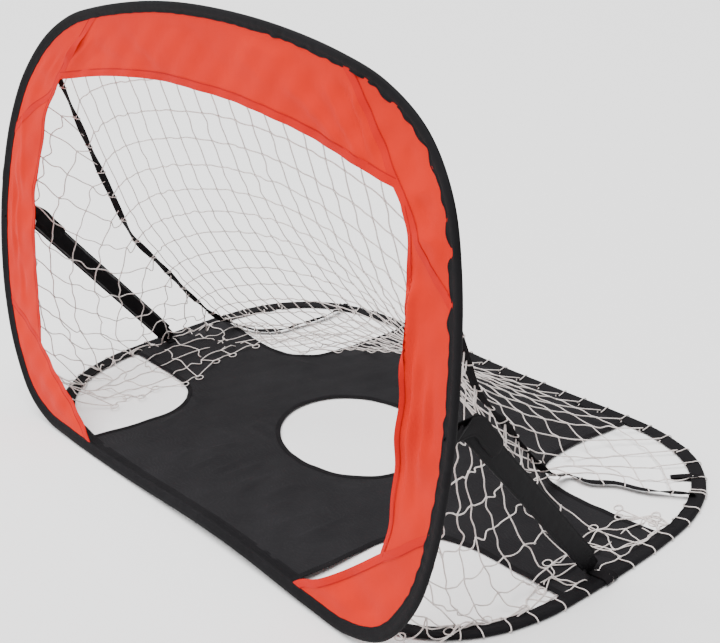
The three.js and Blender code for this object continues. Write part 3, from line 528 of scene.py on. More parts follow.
def fabric(name, light, dark, thread, bump, rough):
    """Plain woven cloth: crossing threads, one thread millimetres apart, over drifting colour."""
    made, tree, shader = node_tree(name)
    place = mottled(tree, shader, light, dark, 9, *rough).outputs["Object"]
    turn = add_node(tree, "ShaderNodeMapping", Vector=place, Rotation=(THREAD_TURN, 0, 0))
    both = tree.nodes.new("ShaderNodeMath")
    both.operation = "MULTIPLY"
    for end, direction in enumerate(("X", "Z")):
        wave = bands(tree, turn.outputs["Vector"], direction, WAVE_LENGTH / (thread / METRE), 0.6, 1)
        tree.links.new(wave, both.inputs[end])
    pucker = add_node(tree, "ShaderNodeTexNoise", Vector=place, Scale=60, Detail=3)
    fine = add_node(tree, "ShaderNodeBump", Height=both.outputs["Value"], Strength=bump, Distance=0.0002)
    soft = add_node(tree, "ShaderNodeBump", Height=pucker.outputs["Fac"], Normal=fine.outputs["Normal"],
                    Strength=0.35, Distance=0.002)
    tree.links.new(soft.outputs["Normal"], shader.inputs["Normal"])
    shader.inputs["Specular IOR Level"].default_value = CLOTH_SPECULAR
    return made


def ridged(name, light, dark, mottle, ridges, distortion):
    """Fine slanting ridges over drifting colour: a tape's ribs, or the lay of a twisted cord."""
    made, tree, shader = node_tree(name)
    place = mottled(tree, shader, light, dark, mottle, 0.6, 0.8).outputs["Object"]
    wave = bands(tree, place, "DIAGONAL", ridges, distortion, 2)
    bump = add_node(tree, "ShaderNodeBump", Height=wave, Strength=0.5, Distance=0.0004)
    tree.links.new(bump.outputs["Normal"], shader.inputs["Normal"])
    return made, shader


def webbing(name, light, dark):
    """Ribbed tape: ribs across it a millimetre or so apart."""
    made, shader = ridged(name, light, dark, 30, 190, 0.5)
    shader.inputs["Specular IOR Level"].default_value = CLOTH_SPECULAR
    return made


def cord_fibre(name):
    """Twisted white cord: fine diagonal lay and slightly soiled hollows."""
    made, shader = ridged(name, linear(232, 224, 220), linear(206, 196, 192), 120, 260, 1.5)
    shader.inputs["Sheen Weight"].default_value = 0.2
    return made


def metal(name, colour, rough):
    """Worn bare metal."""
    made, tree, shader = node_tree(name)
    mottled(tree, shader, colour, tuple(c * 0.8 for c in colour), 90, rough, rough + 0.15)
    shader.inputs["Metallic"].default_value = 1
    return made


def plastic(name, colour):
    """Plain moulded plastic."""
    made, tree, shader = node_tree(name)
    mottled(tree, shader, colour, tuple(c * 0.85 for c in colour), 50, 0.4, 0.55)
    return made


RED_LIGHT, RED_DARK = linear(212, 34, 14), linear(200, 28, 11)
HEM_LIGHT, HEM_DARK = linear(202, 24, 15), linear(190, 18, 12)
MATERIALS = {
    "panel_red": fabric("panel_red", RED_LIGHT, RED_DARK, 0.7, 0.25, (0.5, 0.65)),
    "corner_red": fabric("corner_red", RED_LIGHT, RED_DARK, 0.7, 0.25, (0.5, 0.65)),
    "hem_red": fabric("hem_red", HEM_LIGHT, HEM_DARK, 0.7, 0.25, (0.5, 0.65)),
    # The stitch finish is painted shade: a darker red that stands in for the shadow in each hem's stitched groove.
    "stitch_shade_red": fabric("stitch_shade_red", linear(176, 16, 12), linear(160, 12, 10), 0.7, 0.25, (0.6, 0.7)),
    "sleeve_black": fabric("sleeve_black", linear(25, 24, 26), linear(18, 17, 19), 0.8, 0.5, (0.6, 0.75)),
    "sheet_black": fabric("sheet_black", linear(34, 33, 35), linear(28, 27, 29), 0.8, 0.5, (0.45, 0.6)),
    "binding_black": webbing("binding_black", linear(26, 24, 26), linear(18, 17, 19)),
    "webbing_black": webbing("webbing_black", linear(22, 20, 22), linear(13, 12, 14)),
    "strut_black": fabric("strut_black", linear(20, 19, 21), linear(13, 12, 14), 0.9, 0.5, (0.6, 0.75)),
    "net_white": cord_fibre("net_white"),
    "spring_steel": metal("spring_steel", linear(160, 162, 166), 0.3),
    "ferrule_steel": metal("ferrule_steel", linear(175, 175, 178), 0.35),
    "batten_plastic": plastic("batten_plastic", linear(58, 58, 60)),
}
for part in frame["record"]["subparts"]:
    painted = frame["nodes"][part["node"]].data.materials
    painted.clear()
    painted.append(MATERIALS[part["material_slot"]])


# ---------------------------------------------------------------- sleeves
SLEEVE_SECTION = both_faces([
    (0.0, 0.6), (-0.6, 2.0), (-1.8, 3.3), (-3.6, 4.2), (-6.0, 4.4), (-8.6, 4.1), (-11.0, 3.3), (-14.0, 2.5),
    (-17.0, 1.9), (-19.6, 1.6), (-20.4, 1.25), (-21.2, 1.55), (-23.2, 1.4), (-24.0, 0.7),
])
SLEEVE_STATIONS = 1080
FLOOR_FIT = 0.1
# Waves along the sleeve's inner edge, inward and up, where it is loose and where it is puckered, and waves of
# its middle: their lengths and their height.
LOOSE_IN, TIGHT_IN = ((24, 31, 43, 67, 140), 2.6), ((38, 47, 61), 4.5)
LOOSE_UP, TIGHT_UP = ((19, 27, 38, 55), 1.6), ((33, 41, 52), 2.4)
BELLY = ((13, 17, 23, 34), 0.7)
LOOSE_ELSEWHERE = 0.35  # the share of the loose waves that is left outside the gathered stretch
LAP_HALF = 12  # where the sleeve's ends overlap, half the length of the lap,
LAP_SWELL = 0.12  # how much thicker it is there,
LAP_RISE = 0.5  # and fuller


def sleeve(name, hoop, place, node, body, seed, gathered, puckered, laps, slim=None):
    """Cloth folded over the wire and stitched along its inner edge. It waves where it is gathered."""
    t = np.arange(SLEEVE_STATIONS) / SLEEVE_STATIONS
    reach = t * hoop.round

    def within(start, end):
        return smoothstep(t, start - 0.02, start + 0.02) * smoothstep(end - t, -0.02, 0.02)

    def wavy(step, kind):
        return waves(seed + step, reach, *kind, hoop.round)

    loose = LOOSE_ELSEWHERE + (1 - LOOSE_ELSEWHERE) * within(*gathered)
    tight = within(*puckered)
    edge_in = loose * wavy(0, LOOSE_IN) + tight * wavy(3, TIGHT_IN)
    if slim:
        edge_in -= slim(*hoop.at(t, 0.0).T)
    edge_up = loose * wavy(1, LOOSE_UP) + tight * wavy(4, TIGHT_UP)
    belly = loose * wavy(2, BELLY)
    lap = sum(smoothstep(LAP_HALF - np.abs(reach - at * hoop.round), 0, 2) for at in laps)
    rings = []
    for u, v in SLEEVE_SECTION:
        near_edge = smoothstep(-u, 6, SLEEVE_WIDTH)
        middle = math.copysign(math.sin(math.pi * min(1, -u / SLEEVE_WIDTH)), v)
        height = v * (1 + LAP_SWELL * lap) + near_edge * edge_up + middle * (belly + LAP_RISE * lap)
        flat = hoop.at(t, np.maximum(near_edge * edge_in - u, 0.0))
        rings.append(place(*flat.T, height))
    rings = np.stack(rings, axis=1)
    rings[..., 2] = np.maximum(rings[..., 2], FLOOR_FIT)
    made = lofted(name, rings, "sleeve_black", body, closed=True)
    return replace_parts(made, node)


def front_place(x, up, forward):
    return on_front(x, up, -forward)


def front_slim(x, up):
    """How much narrower the front's sleeve looks: it rolls over the wire, and most along the top."""
    return 3.5 + 4 * smoothstep(up, 450, 650) * smoothstep(x, -480, -300)


sleeve("base_sleeve_cloth", base_hoop, on_base, "base_sleeve", "base", 11, (0.2, 0.3), (0.66, 0.72),
       [base_hoop.nearest(430, 740), base_hoop.nearest(-560, 480)])
sleeve("front_sleeve_cloth", front_hoop, front_place, "front_sleeve", "front_frame", 23, (0.18, 0.47),
       (front_hoop.nearest(535, 430), front_hoop.nearest(330, 735)),
       [front_hoop.nearest(555, 300), front_hoop.nearest(-558, 425)], front_slim)


# ---------------------------------------------------------------- wires and ferrules
WIRE_INSET = 4.7
WIRE_RADIUS = 1.6
FERRULE_RADIUS = 2.4
FERRULE_LENGTH = 30
FERRULE_SHARE = 0.5  # how far round the hoop the wire's two ends meet


def add_wire(name, hoop, place, body):
    """The sprung wire in a sleeve, and the crimped tube that joins its ends."""
    half = FERRULE_LENGTH / 2 / hoop.round
    joint = np.linspace(FERRULE_SHARE - half, FERRULE_SHARE + half, 9)
    for word, share, radius, sides, slot in (
        ("wire", np.arange(720) / 720, WIRE_RADIUS, 8, "spring_steel"),
        ("ferrule", joint, FERRULE_RADIUS, 12, "ferrule_steel"),
    ):
        rings = tube_rings(place(*hoop.at(share, WIRE_INSET).T), radius, sides)
        made = lofted(f"{name}_round_{word}", rings, slot, body)
        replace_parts(made, f"{name}_{word}")


add_wire("base_hoop", base_hoop, on_base, "base")
add_wire("front_hoop", front_hoop, on_front, "front_frame")


# ---------------------------------------------------------------- red facing panels
# Each edge runs in the front plane: x, and up from the seam. They differ left and right, as sewn cloth does.
TUCK = 13  # how far a panel's edge runs into the sleeve
PANEL_EDGE = SLEEVE_WIDTH - TUCK
MOUTH_TOP = [(-374, 624), (-268, 643), (-184, 653), (-91, 659), (-6, 659), (86, 656), (173, 647), (255, 635),
             (334, 621), (400, 609)]
MOUTH_LEFT = [(-374, 624), (-388, 602), (-408, 577), (-417, 545), (-425, 504), (-435, 450), (-443, 401),
              (-437, 305), (-431, 233), (-424, 177), (-426, 143)]
MOUTH_RIGHT = [(400, 609), (419, 591), (433, 560), (443, 504), (451, 454), (461, 383), (465, 291), (464, 195),
               (452, 152)]


def in_slot(x, up):
    """The point of the sleeve's slot nearest to a place."""
    return tuple(front_hoop.at(front_hoop.nearest(x, up, PANEL_EDGE), PANEL_EDGE))


FOOT_LEFT = [(-426, 143), (-381, 107), (-319, 73), (-266, 30), in_slot(-249, 14)]
FOOT_RIGHT = [(452, 152), (410, 114), (373, 82), (335, 53), (296, 30), in_slot(276, 14)]
TOP_SEAM_LEFT = [in_slot(-270, 735), (-325, 680), (-374, 624)]
TOP_SEAM_RIGHT = [in_slot(280, 740), (315, 705), (360, 656), (400, 609)]
SIDE_SEAM_LEFT = [(-388, 602), (-459, 554), in_slot(-527, 494)]
SIDE_SEAM_RIGHT = [(419, 591), (454, 546), in_slot(524, 488)]
LOW_SEAM_LEFT = [(-426, 143), (-481, 176), in_slot(-522, 208)]
LOW_SEAM_RIGHT = [(452, 152), (480, 174), (513, 204), in_slot(540, 225)]
PANEL_STEP = 5.5
EDGE_STEPS = 60


def hoop_edge(first, last):
    """The line in the front sleeve's slot between the points of it nearest to two places."""
    start, end = (front_hoop.nearest(*place, PANEL_EDGE) for place in (first, last))
    return front_hoop.edge(start, end, PANEL_EDGE, EDGE_STEPS)


def bend(knots, count=EDGE_STEPS):
    """A smooth line through a few knots."""
    return evenly(smooth_curve(knots), count)


# Folds in the red cloth. Each runs from one point to another, with its height and half width.
RED_FOLDS = [
    (-380, 640, -290, 716, 3.0, 6), (-366, 632, -262, 720, 2.8, 5), (-340, 630, -225, 715, -2.6, 7),
    (375, 622, 292, 728, 4.0, 5), (366, 618, 270, 728, -3.6, 5.5), (352, 622, 240, 722, 3.8, 6),
    (338, 628, 205, 716, -3.2, 7), (318, 634, 165, 705, 3.2, 8), (290, 640, 120, 700, -2.6, 9),
    (240, 655, 40, 735, 3.0, 11), (120, 672, -60, 742, -2.6, 13), (-60, 668, -200, 725, 2.6, 11),
    (-160, 662, -300, 690, -2.2, 10), (60, 742, 220, 728, 2.4, 8), (-120, 735, 40, 744, -2.2, 8),
    (446, 205, 436, 505, 4.0, 4.5), (456, 190, 450, 500, -3.4, 4.5), (466, 230, 458, 520, 4.2, 5),
    (478, 190, 470, 500, -3.8, 5), (490, 240, 476, 480, 4.0, 5), (502, 215, 492, 450, -3.2, 5.5),
    (512, 260, 500, 440, 3.0, 4.5), (450, 380, 447, 560, -3.0, 4), (462, 400, 455, 545, 3.0, 4),
    (441, 460, 470, 520, 2.6, 7), (520, 300, 512, 420, -2.4, 5),
    (-490, 180, -500, 520, 3.0, 6), (-505, 220, -512, 500, -2.6, 6), (-478, 380, -492, 560, 2.6, 5),
    (-516, 260, -520, 430, 2.4, 5), (-470, 190, -505, 330, -2.6, 7), (-486, 300, -520, 350, 2.0, 8),
    (420, 600, 500, 640, 3.2, 9), (405, 640, 450, 690, -3.0, 8), (440, 560, 520, 570, 3.0, 8),
    (360, 690, 420, 720, 2.6, 8), (430, 620, 480, 560, -2.8, 9), (470, 520, 510, 600, 2.4, 8),
    (-500, 560, -420, 660, 2.6, 8), (-470, 560, -380, 680, -2.4, 7), (-450, 590, -340, 700, 2.2, 7),
    (300, 30, 430, 60, 1.6, 12), (360, 70, 480, 120, -1.6, 12), (-330, 40, -440, 90, 1.6, 12),
]


FOLD_SHARE = 1.2  # of the heights above
RED_RIPPLES = (48, 70, 105, 170, 260), 1.9
LEAST_FOLD = 0.05  # the share of the folds that is left in the sleeve's slot


def red_lift(x, up):
    """How far the red cloth stands ahead of the front plane: one surface for every panel and its seams."""
    rise = FOLD_SHARE * creases(x, up, RED_FOLDS) + ripples(31, x, up, *RED_RIPPLES)
    gap = gap_to(np.stack([x, up], axis=1), front_hoop.at(np.arange(360) / 360, PANEL_EDGE))
    return rise * (LEAST_FOLD + (1 - LEAST_FOLD) * smoothstep(gap, TUCK - 3, TUCK + 20))


def fit_cloth(name, loops, step, lift, place, slot, body):
    """A sheet of cloth in place of its node. Its first loop is the edges of its outline, laid end to end."""
    outline = np.vstack([edge[:-1] for edge in loops[0]])
    made, area, flat = cloth(f"{name}_cloth", outline, loops[1:], step, lift, place, slot, body)
    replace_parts(made, name)


def panel(node, slot, *edges):
    """A red panel that is stretched in the front's sleeve."""
    fit_cloth(node, [edges], PANEL_STEP, red_lift, front_place, slot, "front_frame")


def add_panels():
    """All the red panels, each as its edges from the sleeve's slot round."""
    top_left, side_left, low_left = map(bend, (TOP_SEAM_LEFT, SIDE_SEAM_LEFT, LOW_SEAM_LEFT))
    top_right, side_right, low_right = map(bend, (TOP_SEAM_RIGHT, SIDE_SEAM_RIGHT, LOW_SEAM_RIGHT))
    top_end_left, top_end_right = TOP_SEAM_LEFT[0], TOP_SEAM_RIGHT[0]
    side_end_left, side_end_right = SIDE_SEAM_LEFT[-1], SIDE_SEAM_RIGHT[-1]
    low_end_left, low_end_right = LOW_SEAM_LEFT[-1], LOW_SEAM_RIGHT[-1]
    panel("top_panel", "panel_red", hoop_edge(top_end_right, top_end_left), top_left, bend(MOUTH_TOP),
          top_right[::-1])
    panel("side_panel_right", "panel_red", hoop_edge(low_end_right, side_end_right), side_right[::-1],
          bend(MOUTH_RIGHT[1:]), low_right)
    panel("side_panel_left", "panel_red", hoop_edge(side_end_left, low_end_left), low_left[::-1],
          bend(MOUTH_LEFT[1:])[::-1], side_left)
    panel("top_corner_right", "corner_red", hoop_edge(side_end_right, top_end_right), top_right,
          bend(MOUTH_RIGHT[:2]), side_right)
    panel("top_corner_left", "corner_red", hoop_edge(top_end_left, side_end_left), side_left[::-1],
          bend(MOUTH_LEFT[:2])[::-1], top_left[::-1])
    panel("bottom_corner_right", "corner_red", hoop_edge(FOOT_RIGHT[-1], low_end_right), low_right[::-1],
          bend(FOOT_RIGHT))
    panel("bottom_corner_left", "corner_red", hoop_edge(low_end_left, FOOT_LEFT[-1]), bend(FOOT_LEFT)[::-1],
          low_left)


SEAM_WIDTH = 12
SIDE_HEM_WIDTH = 7
HEM_THICK = 0.5
HEM_AHEAD = 0.75  # a hem's middle lies this far in front of the panels' middle
# The thin darker strip along each hem's stitched groove is painted shade, laid just in front of the hem.
STITCH_SHADE_WIDTH = 1.5
STITCH_SHADE_THICK = 0.3
STITCH_SHADE_AHEAD = HEM_AHEAD + 0.2


def sewn(name, knots, side, width):
    """A hem or lapped seam in the front's cloth, on the left or right of a line, with a thin darker strip of
    painted shade along its stitched groove.
    """
    line = bend(knots, 140)
    for word, shift, wide, thick, ahead, finish in (
        ("", width / 2, width, HEM_THICK, HEM_AHEAD, "hem_red"),
        ("_stitch_shade", width - 1, STITCH_SHADE_WIDTH, STITCH_SHADE_THICK, STITCH_SHADE_AHEAD, "stitch_shade_red"),
    ):
        def just_ahead(flat, ahead=ahead):
            return front_place(*flat.T, red_lift(*flat.T) + ahead)

        strip(name + word, line, side * shift, wide, thick, just_ahead, "panel_red", "front_frame", finish)


add_panels()
for seam_name, seam_knots, seam_side, seam_width in (
    ("seam_top_right", TOP_SEAM_RIGHT + SIDE_SEAM_RIGHT, 1, SEAM_WIDTH),
    ("seam_top_left", TOP_SEAM_LEFT + SIDE_SEAM_LEFT, -1, SEAM_WIDTH),
    ("seam_low_right", LOW_SEAM_RIGHT[:0:-1] + FOOT_RIGHT, 1, SEAM_WIDTH),
    ("seam_low_left", LOW_SEAM_LEFT[:0:-1] + FOOT_LEFT, -1, SEAM_WIDTH),
    ("hem_mouth_top", MOUTH_TOP, 1, SEAM_WIDTH),
    ("hem_mouth_left", MOUTH_LEFT[1:], -1, SIDE_HEM_WIDTH),
    ("hem_mouth_right", MOUTH_RIGHT[1:], 1, SIDE_HEM_WIDTH),
):
    sewn(seam_name, seam_knots, seam_side, seam_width)


# ---------------------------------------------------------------- target sheet
HOLE_CENTRE = (9, 369)
HOLE_WIDE, HOLE_DEEP = 146, 126
HOLE_TURN = math.radians(-8)
HOLE_RADIUS = (HOLE_WIDE + HOLE_DEEP) / 2
FRONT_LEFT_HOLE = [
    (-301, 14), (-292, 64), (-285, 122), (-283, 170), (-296, 214), (-326, 246), (-360, 260), (-416, 265),
    (-490, 267), (-537, 267),
]
FRONT_RIGHT_HOLE = [
    (268, 14), (273, 70), (274, 135), (277, 180), (296, 220), (328, 247), (357, 260), (387, 267), (449, 269),
    (540, 270),
]
REAR_LEFT_HOLE = [
    (-547, 497), (-481, 494), (-440, 486), (-391, 483), (-352, 486), (-313, 501), (-287, 523), (-273, 558),
    (-266, 602), (-262, 665), (-258, 762),
]
REAR_RIGHT_HOLE = [
    (310, 758), (306, 716), (297, 649), (295, 597), (300, 545), (313, 520), (345, 500), (387, 494),
    (442, 494), (547, 503),
]
SHEET_FOLDS = [
    (-130, 59, -143, 145, 2.6, 5), (-55, 88, -56, 184, 3.0, 5), (-31, 90, -25, 200, 2.8, 5),
    (16, 66, 4, 150, 2.6, 5), (28, 70, 11, 186, 3.2, 6), (94, 70, 97, 160, 2.4, 5),
    (190, 55, 192, 220, 3.0, 5), (190, 53, 240, 80, 2.4, 4), (-158, 274, -92, 284, 3.4, 4),
    (-150, 245, -65, 250, 3.4, 4.5), (-340, 253, -274, 253, 2.8, 4), (-324, 240, -262, 228, 2.4, 4),
    (-312, 475, -235, 496, 2.4, 5), (-270, 428, -150, 472, 2.6, 8), (60, 220, 175, 276, 2.4, 6),
    (-247, 120, -272, 210, 2.6, 6), (-200, 195, -100, 226, 2.4, 6), (-127, 120, -105, 205, 2.4, 5),
    (-84, 60, -96, 170, 2.2, 6), (60, 80, 66, 190, 2.2, 6), (140, 60, 150, 170, 2.2, 6),
    (160, 480, 300, 520, 2.4, 7), (180, 300, 300, 270, 2.4, 7), (-60, 560, -90, 700, 2.4, 8),
    (70, 560, 110, 720, 2.4, 8), (230, 560, 250, 700, 2.0, 6), (-200, 580, -215, 720, 2.0, 6),
]
SHEET_STEP = 6.0


SHEET_RIPPLES = (45, 64, 90, 140, 230), 0.9
SHEET_SAG = 1.2


def base_edge(first, last):
    """The line in the base sleeve's slot between the points of it nearest to two places."""
    start, end = (base_hoop.nearest(*place, PANEL_EDGE) for place in (first, last))
    return base_hoop.edge(start, end, PANEL_EDGE, EDGE_STEPS)


def sheet_lift(x, y):
    """The sheet lies almost flat: slack folds between its holes, a slight sag to the floor inside."""
    sag = SHEET_SAG * smoothstep(np.hypot(x / 560, (y - 390) / 390), 1.0, 0.7)
    return creases(x, y, SHEET_FOLDS) + ripples(41, x, y, *SHEET_RIPPLES) - sag


def add_sheet():
    """The target sheet, from the edge at the fold round to the right."""
    edges = [
        base_edge(FRONT_LEFT_HOLE[0], FRONT_RIGHT_HOLE[0]), bend(FRONT_RIGHT_HOLE),
        base_edge(FRONT_RIGHT_HOLE[-1], REAR_RIGHT_HOLE[-1]), bend(REAR_RIGHT_HOLE)[::-1],
        base_edge(REAR_RIGHT_HOLE[0], REAR_LEFT_HOLE[-1]), bend(REAR_LEFT_HOLE)[::-1],
        base_edge(REAR_LEFT_HOLE[0], FRONT_LEFT_HOLE[-1]), bend(FRONT_LEFT_HOLE)[::-1],
    ]
    fit_cloth("target_sheet", [edges, CENTRE_HOLE], SHEET_STEP, sheet_lift, on_base, "sheet_black", "base")


BINDING_WIDTH = 9


def bind(node, line, side, closed=False):
    """The bound edge of a hole, on one side of its line, in place of its node."""
    def on_sheet(flat):
        return on_base(*flat.T, sheet_lift(*flat.T) + HEM_AHEAD)

    made = strip(f"{node}_tape", line, side * BINDING_WIDTH / 2, BINDING_WIDTH, HEM_THICK, on_sheet,
                 "binding_black", "base", closed=closed)
    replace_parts(made, node)


round_turn = np.linspace(0, 2 * math.pi, 121)[:-1]
HOLE_AXES = np.array([
    (math.cos(HOLE_TURN), math.sin(HOLE_TURN)),
    (-math.sin(HOLE_TURN), math.cos(HOLE_TURN)),
])
CENTRE_HOLE = np.stack([HOLE_WIDE * np.cos(round_turn), HOLE_DEEP * np.sin(round_turn)], axis=1) @ HOLE_AXES
CENTRE_HOLE += HOLE_CENTRE
add_sheet()
bind("binding_centre", CENTRE_HOLE, -1, closed=True)
for hole_word, hole_knots, hole_side in (
    ("front_left", FRONT_LEFT_HOLE, -1),
    ("front_right", FRONT_RIGHT_HOLE, 1),
    ("rear_left", REAR_LEFT_HOLE, -1),
    ("rear_right", REAR_RIGHT_HOLE, -1),
):
    bind(f"binding_{hole_word}", bend(hole_knots, 120), hole_side)


# ---------------------------------------------------------------- struts
STRUT_FOOT = (28, 352, 12)  # the pivot: inside the base's side, y and height
STRUT_AIM = (36, 88, 330)  # and a point that the strut's middle line runs through
STRUT_WIDTH = 34
STRUT_THICK = 7
STRUT_START, STRUT_END = 22, 430
# Half shares round a padded bar: flat stitched rims and a slightly fuller middle.
STRUT_SECTION = both_faces([
    (-1, 0.25), (-0.97, 0.6), (-0.88, 0.72), (-0.8, 0.62), (-0.74, 0.78), (-0.5, 0.96), (0, 1.0),
    (0.5, 0.96), (0.74, 0.78), (0.8, 0.62), (0.88, 0.72), (0.97, 0.6), (1, 0.25),
])
STRUT_SHARP = 40  # degrees
STRUT_WOBBLE = (38, 61, 97), 0.5
END_FULLNESS = 0.62  # how thick the strut's ends are, as a share
SIDES = ((-1, "left"), (1, "right"))


def strut_axes(side):
    """The strut's pivot, and the directions along it, across its width and through it."""
    half = BASE_WIDTH / 2
    pivot, aim = (np.array([side * (half - inward), y, z]) for inward, y, z in (STRUT_FOOT, STRUT_AIM))
    along = (aim - pivot) / np.linalg.norm(aim - pivot)
    across = np.cross((1, 0, 0), along)
    across /= np.linalg.norm(across)
    return pivot, along, across, np.cross(across, along)


def add_strut(side, word):
    """The padded cover of a strut."""
    pivot, along, across, through = strut_axes(side)
    reach = np.concatenate([
        [STRUT_START, STRUT_START + 1.5],
        np.linspace(STRUT_START + 5, STRUT_END - 5, 90),
        [STRUT_END - 1.5, STRUT_END],
    ])
    end = np.minimum(reach - STRUT_START, STRUT_END - reach)
    full = END_FULLNESS + (1 - END_FULLNESS) * smoothstep(end, -1, 12)
    wide, thick = STRUT_SECTION.T * ((STRUT_WIDTH / 2,), (STRUT_THICK / 2,))
    rings = []
    for at, share, shift in zip(reach, full, waves(50 + side, reach, *STRUT_WOBBLE)):
        width = np.outer(wide + shift * 0.4, across)
        rings.append(pivot + at * along + width + np.outer(thick * share + shift * 0.3, through))
    rings = np.array(rings)
    made = lofted(f"strut_{word}_cover", rings, "strut_black", f"strut_{word}", sharp=STRUT_SHARP)
    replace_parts(made, f"strut_sleeve_{word}")


TAB_WIDTH = 27
TAB_REACH = (358, 395, STRUT_END - 4)  # how far along the strut a tab is laid, from its rounded end
TAB_THICK = 2
TAB_HOLD = (548, 352)  # where it is sewn to the front: x and up
TAB_DROP = 7  # how far its middle lies off the strut's
TAIL_START = 48
TAIL_WIDTH = 27
ANCHOR_WIDTH = 28
ANCHOR_THICK = 1.4
# The anchor's way over the base's sleeve: inset and height.
ANCHOR_ROUTE = [(38, 6.4), (29, 8.2), (18, 8.9), (8, 10.6), (2, 10.2), (-1.6, 7.4), (-2.0, 4.5)]


def rounded(points, width):
    """Widths along a tape whose first end is round."""
    reach = np.concatenate([[0], np.cumsum(np.linalg.norm(np.diff(points, axis=0), axis=1))])
    return width * np.sqrt(np.clip(1 - (1 - reach / (width / 2)).clip(0, 1) ** 2, 0.02, 1))


def add_tab(side, word):
    """A hook-and-loop tab: two leaves from the front's sleeve that hold the strut's end between them."""
    pivot, along, across, through = strut_axes(side)
    hold_x, hold_up = TAB_HOLD
    for leaf, face in (("inner", -1), ("outer", 1)):
        out = through * side * face * math.copysign(1, through[0])
        off = (STRUT_THICK / 2 + TAB_THICK / 2 + 0.3) * out - TAB_DROP * across
        knots = [pivot + reach * along + off for reach in TAB_REACH]
        leaf_x = side * (hold_x - 5 * face)
        knots += [on_front(leaf_x, hold_up, 12.0), on_front(leaf_x, hold_up + 6, 5.4)]
        points = bend(knots, 60)
        made = ribbon(f"strut_tab_{word}_{leaf}", points, across, rounded(points, TAB_WIDTH), TAB_THICK,
                      "webbing_black", "front_frame")
        anchor = in_frame([on_front(side * hold_x, hold_up, 0.0)])[0]
        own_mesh(made)
        if leaf == "inner":
            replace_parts(made, f"strut_tab_{word}")


def add_foot(side, word):
    """The webbing tail that joins a strut to the base, and the anchor sewn round the base's sleeve."""
    pivot, along, across, _ = strut_axes(side)
    hinge = pivot + (0, 0, -1.5)
    points = bend([pivot + TAIL_START * along, pivot + 25 * along, hinge], 30)
    width = np.linspace(TAIL_WIDTH, TAIL_WIDTH - 3, len(points))
    tail = ribbon(f"strut_tail_{word}_webbing", points, across, width, TAB_THICK, "webbing_black",
                  f"strut_{word}")
    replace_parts(tail, f"strut_tail_{word}")
    t = base_hoop.nearest(side * BASE_WIDTH / 2, hinge[1])
    inset, height = np.array(ANCHOR_ROUTE).T
    flat = base_hoop.at(np.full(len(inset), t), inset)
    points = bend(on_base(*flat.T, height - BASE_PLANE), 40)
    anchor = ribbon(f"strut_anchor_{word}_webbing", points, (0.0, 1, 0), ANCHOR_WIDTH, ANCHOR_THICK,
                    "webbing_black", "base")
    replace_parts(anchor, f"strut_anchor_{word}")


for strut_side, strut_word in SIDES:
    add_strut(strut_side, strut_word)
    add_tab(strut_side, strut_word)
    add_foot(strut_side, strut_word)


# ---------------------------------------------------------------- seam tape and rear loop
SEAM_TAPE_THICK = 0.7
LOOP_WIDTH = 11


LOOP_ROUTE = [
    (506, 688, 9.8), (492, 677, 8.4), (474, 661, 5.6), (468, 656, 3.4), (474, 660, 1.6), (484, 668, 1.6),
    (494, 677, 2.6),
]
STRAP_THICK = 1.2


def add_seam_tape():
    """The tape along the fold, which joins the two sleeves."""
    low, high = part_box("seam_tape")
    reach = high.x * METRE
    width = (high.z - low.z) * METRE
    points = on_base(np.linspace(-reach, reach, 120), -0.4)
    made = ribbon("seam_tape_webbing", points, (0.0, 0, 1), width, SEAM_TAPE_THICK, "binding_black", "base")
    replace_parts(made, "seam_tape")


def add_rear_loop():
    """A small loop of webbing sewn to the base's sleeve, lying into the rear hole."""
    made = ribbon("rear_loop_webbing", bend(LOOP_ROUTE, 70), (-0.7, 0.72, 0), LOOP_WIDTH, STRAP_THICK,
                  "webbing_black", "base")
    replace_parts(made, "base_loop_tab")


add_seam_tape()
add_rear_loop()


def hang_between(made, node):
    """A hanging piece with its place baked into its mesh, in place of its node."""
    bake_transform(made)
    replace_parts(made, node)


# Routes of the ridge straps: distance out from the middle, y and height.
STRAP_HEAD = (430, 655)  # where each is sewn to the front's sleeve
HANG = {
    -1: [(425, 140, 490), (439, 185, 385), (452, 230, 288), (465, 300, 203), (479, 375, 112), (492, 440, 47),
         (492, 490, 14), (452, 512, 8), (422, 546, 8), (414, 597, 8), (409, 672, 9), (423, 740, 11)],
    1: [(418, 140, 490), (407, 190, 385), (398, 240, 285), (385, 315, 203), (367, 395, 116), (360, 462, 46),
        (351, 505, 18), (356, 533, 8), (391, 541, 8), (421, 568, 8), (464, 585, 8), (530, 632, 10)],
}
STRAP_WIDTH = 13
STRAP_SAMPLES = 601
STRAP_PARTS = 260  # of the webbing that is laid along it
STRAP_TWIST = (95, 150, 230), 1.0


def strap_route(side):
    """The line of a ridge strap, from the front's sleeve to the base's."""
    head = on_front(side * STRAP_HEAD[0], STRAP_HEAD[1], 6.0)
    return evenly(smooth_curve([head, *(np.array(HANG[side]) * (side, 1, 1))]), STRAP_SAMPLES)


STRAP_ROUTE = {side: strap_route(side) for side in (-1, 1)}
STRAP_LENGTH = {side: length_of(STRAP_ROUTE[side]) for side in (-1, 1)}


def on_strap(side, length):
    """A point of a strap, this far along it."""
    place = np.clip(length / STRAP_LENGTH[side], 0, 1) * (STRAP_SAMPLES - 1)
    return STRAP_ROUTE[side][int(round(place))]


def strap_across(side, points):
    """The direction of the strap's width: it twists in the air and on the floor, as slack webbing does."""
    along = directions(points)
    level = np.cross(along, (0, 0, 1))
    level /= np.linalg.norm(level, axis=1)[:, None]
    other = np.cross(level, along)
    reach = np.linspace(0, STRAP_LENGTH[side], len(points))
    turn = 0.3 + 0.9 * waves(60 + side, reach, *STRAP_TWIST)
    return np.cos(turn)[:, None] * level + np.sin(turn)[:, None] * other, turn


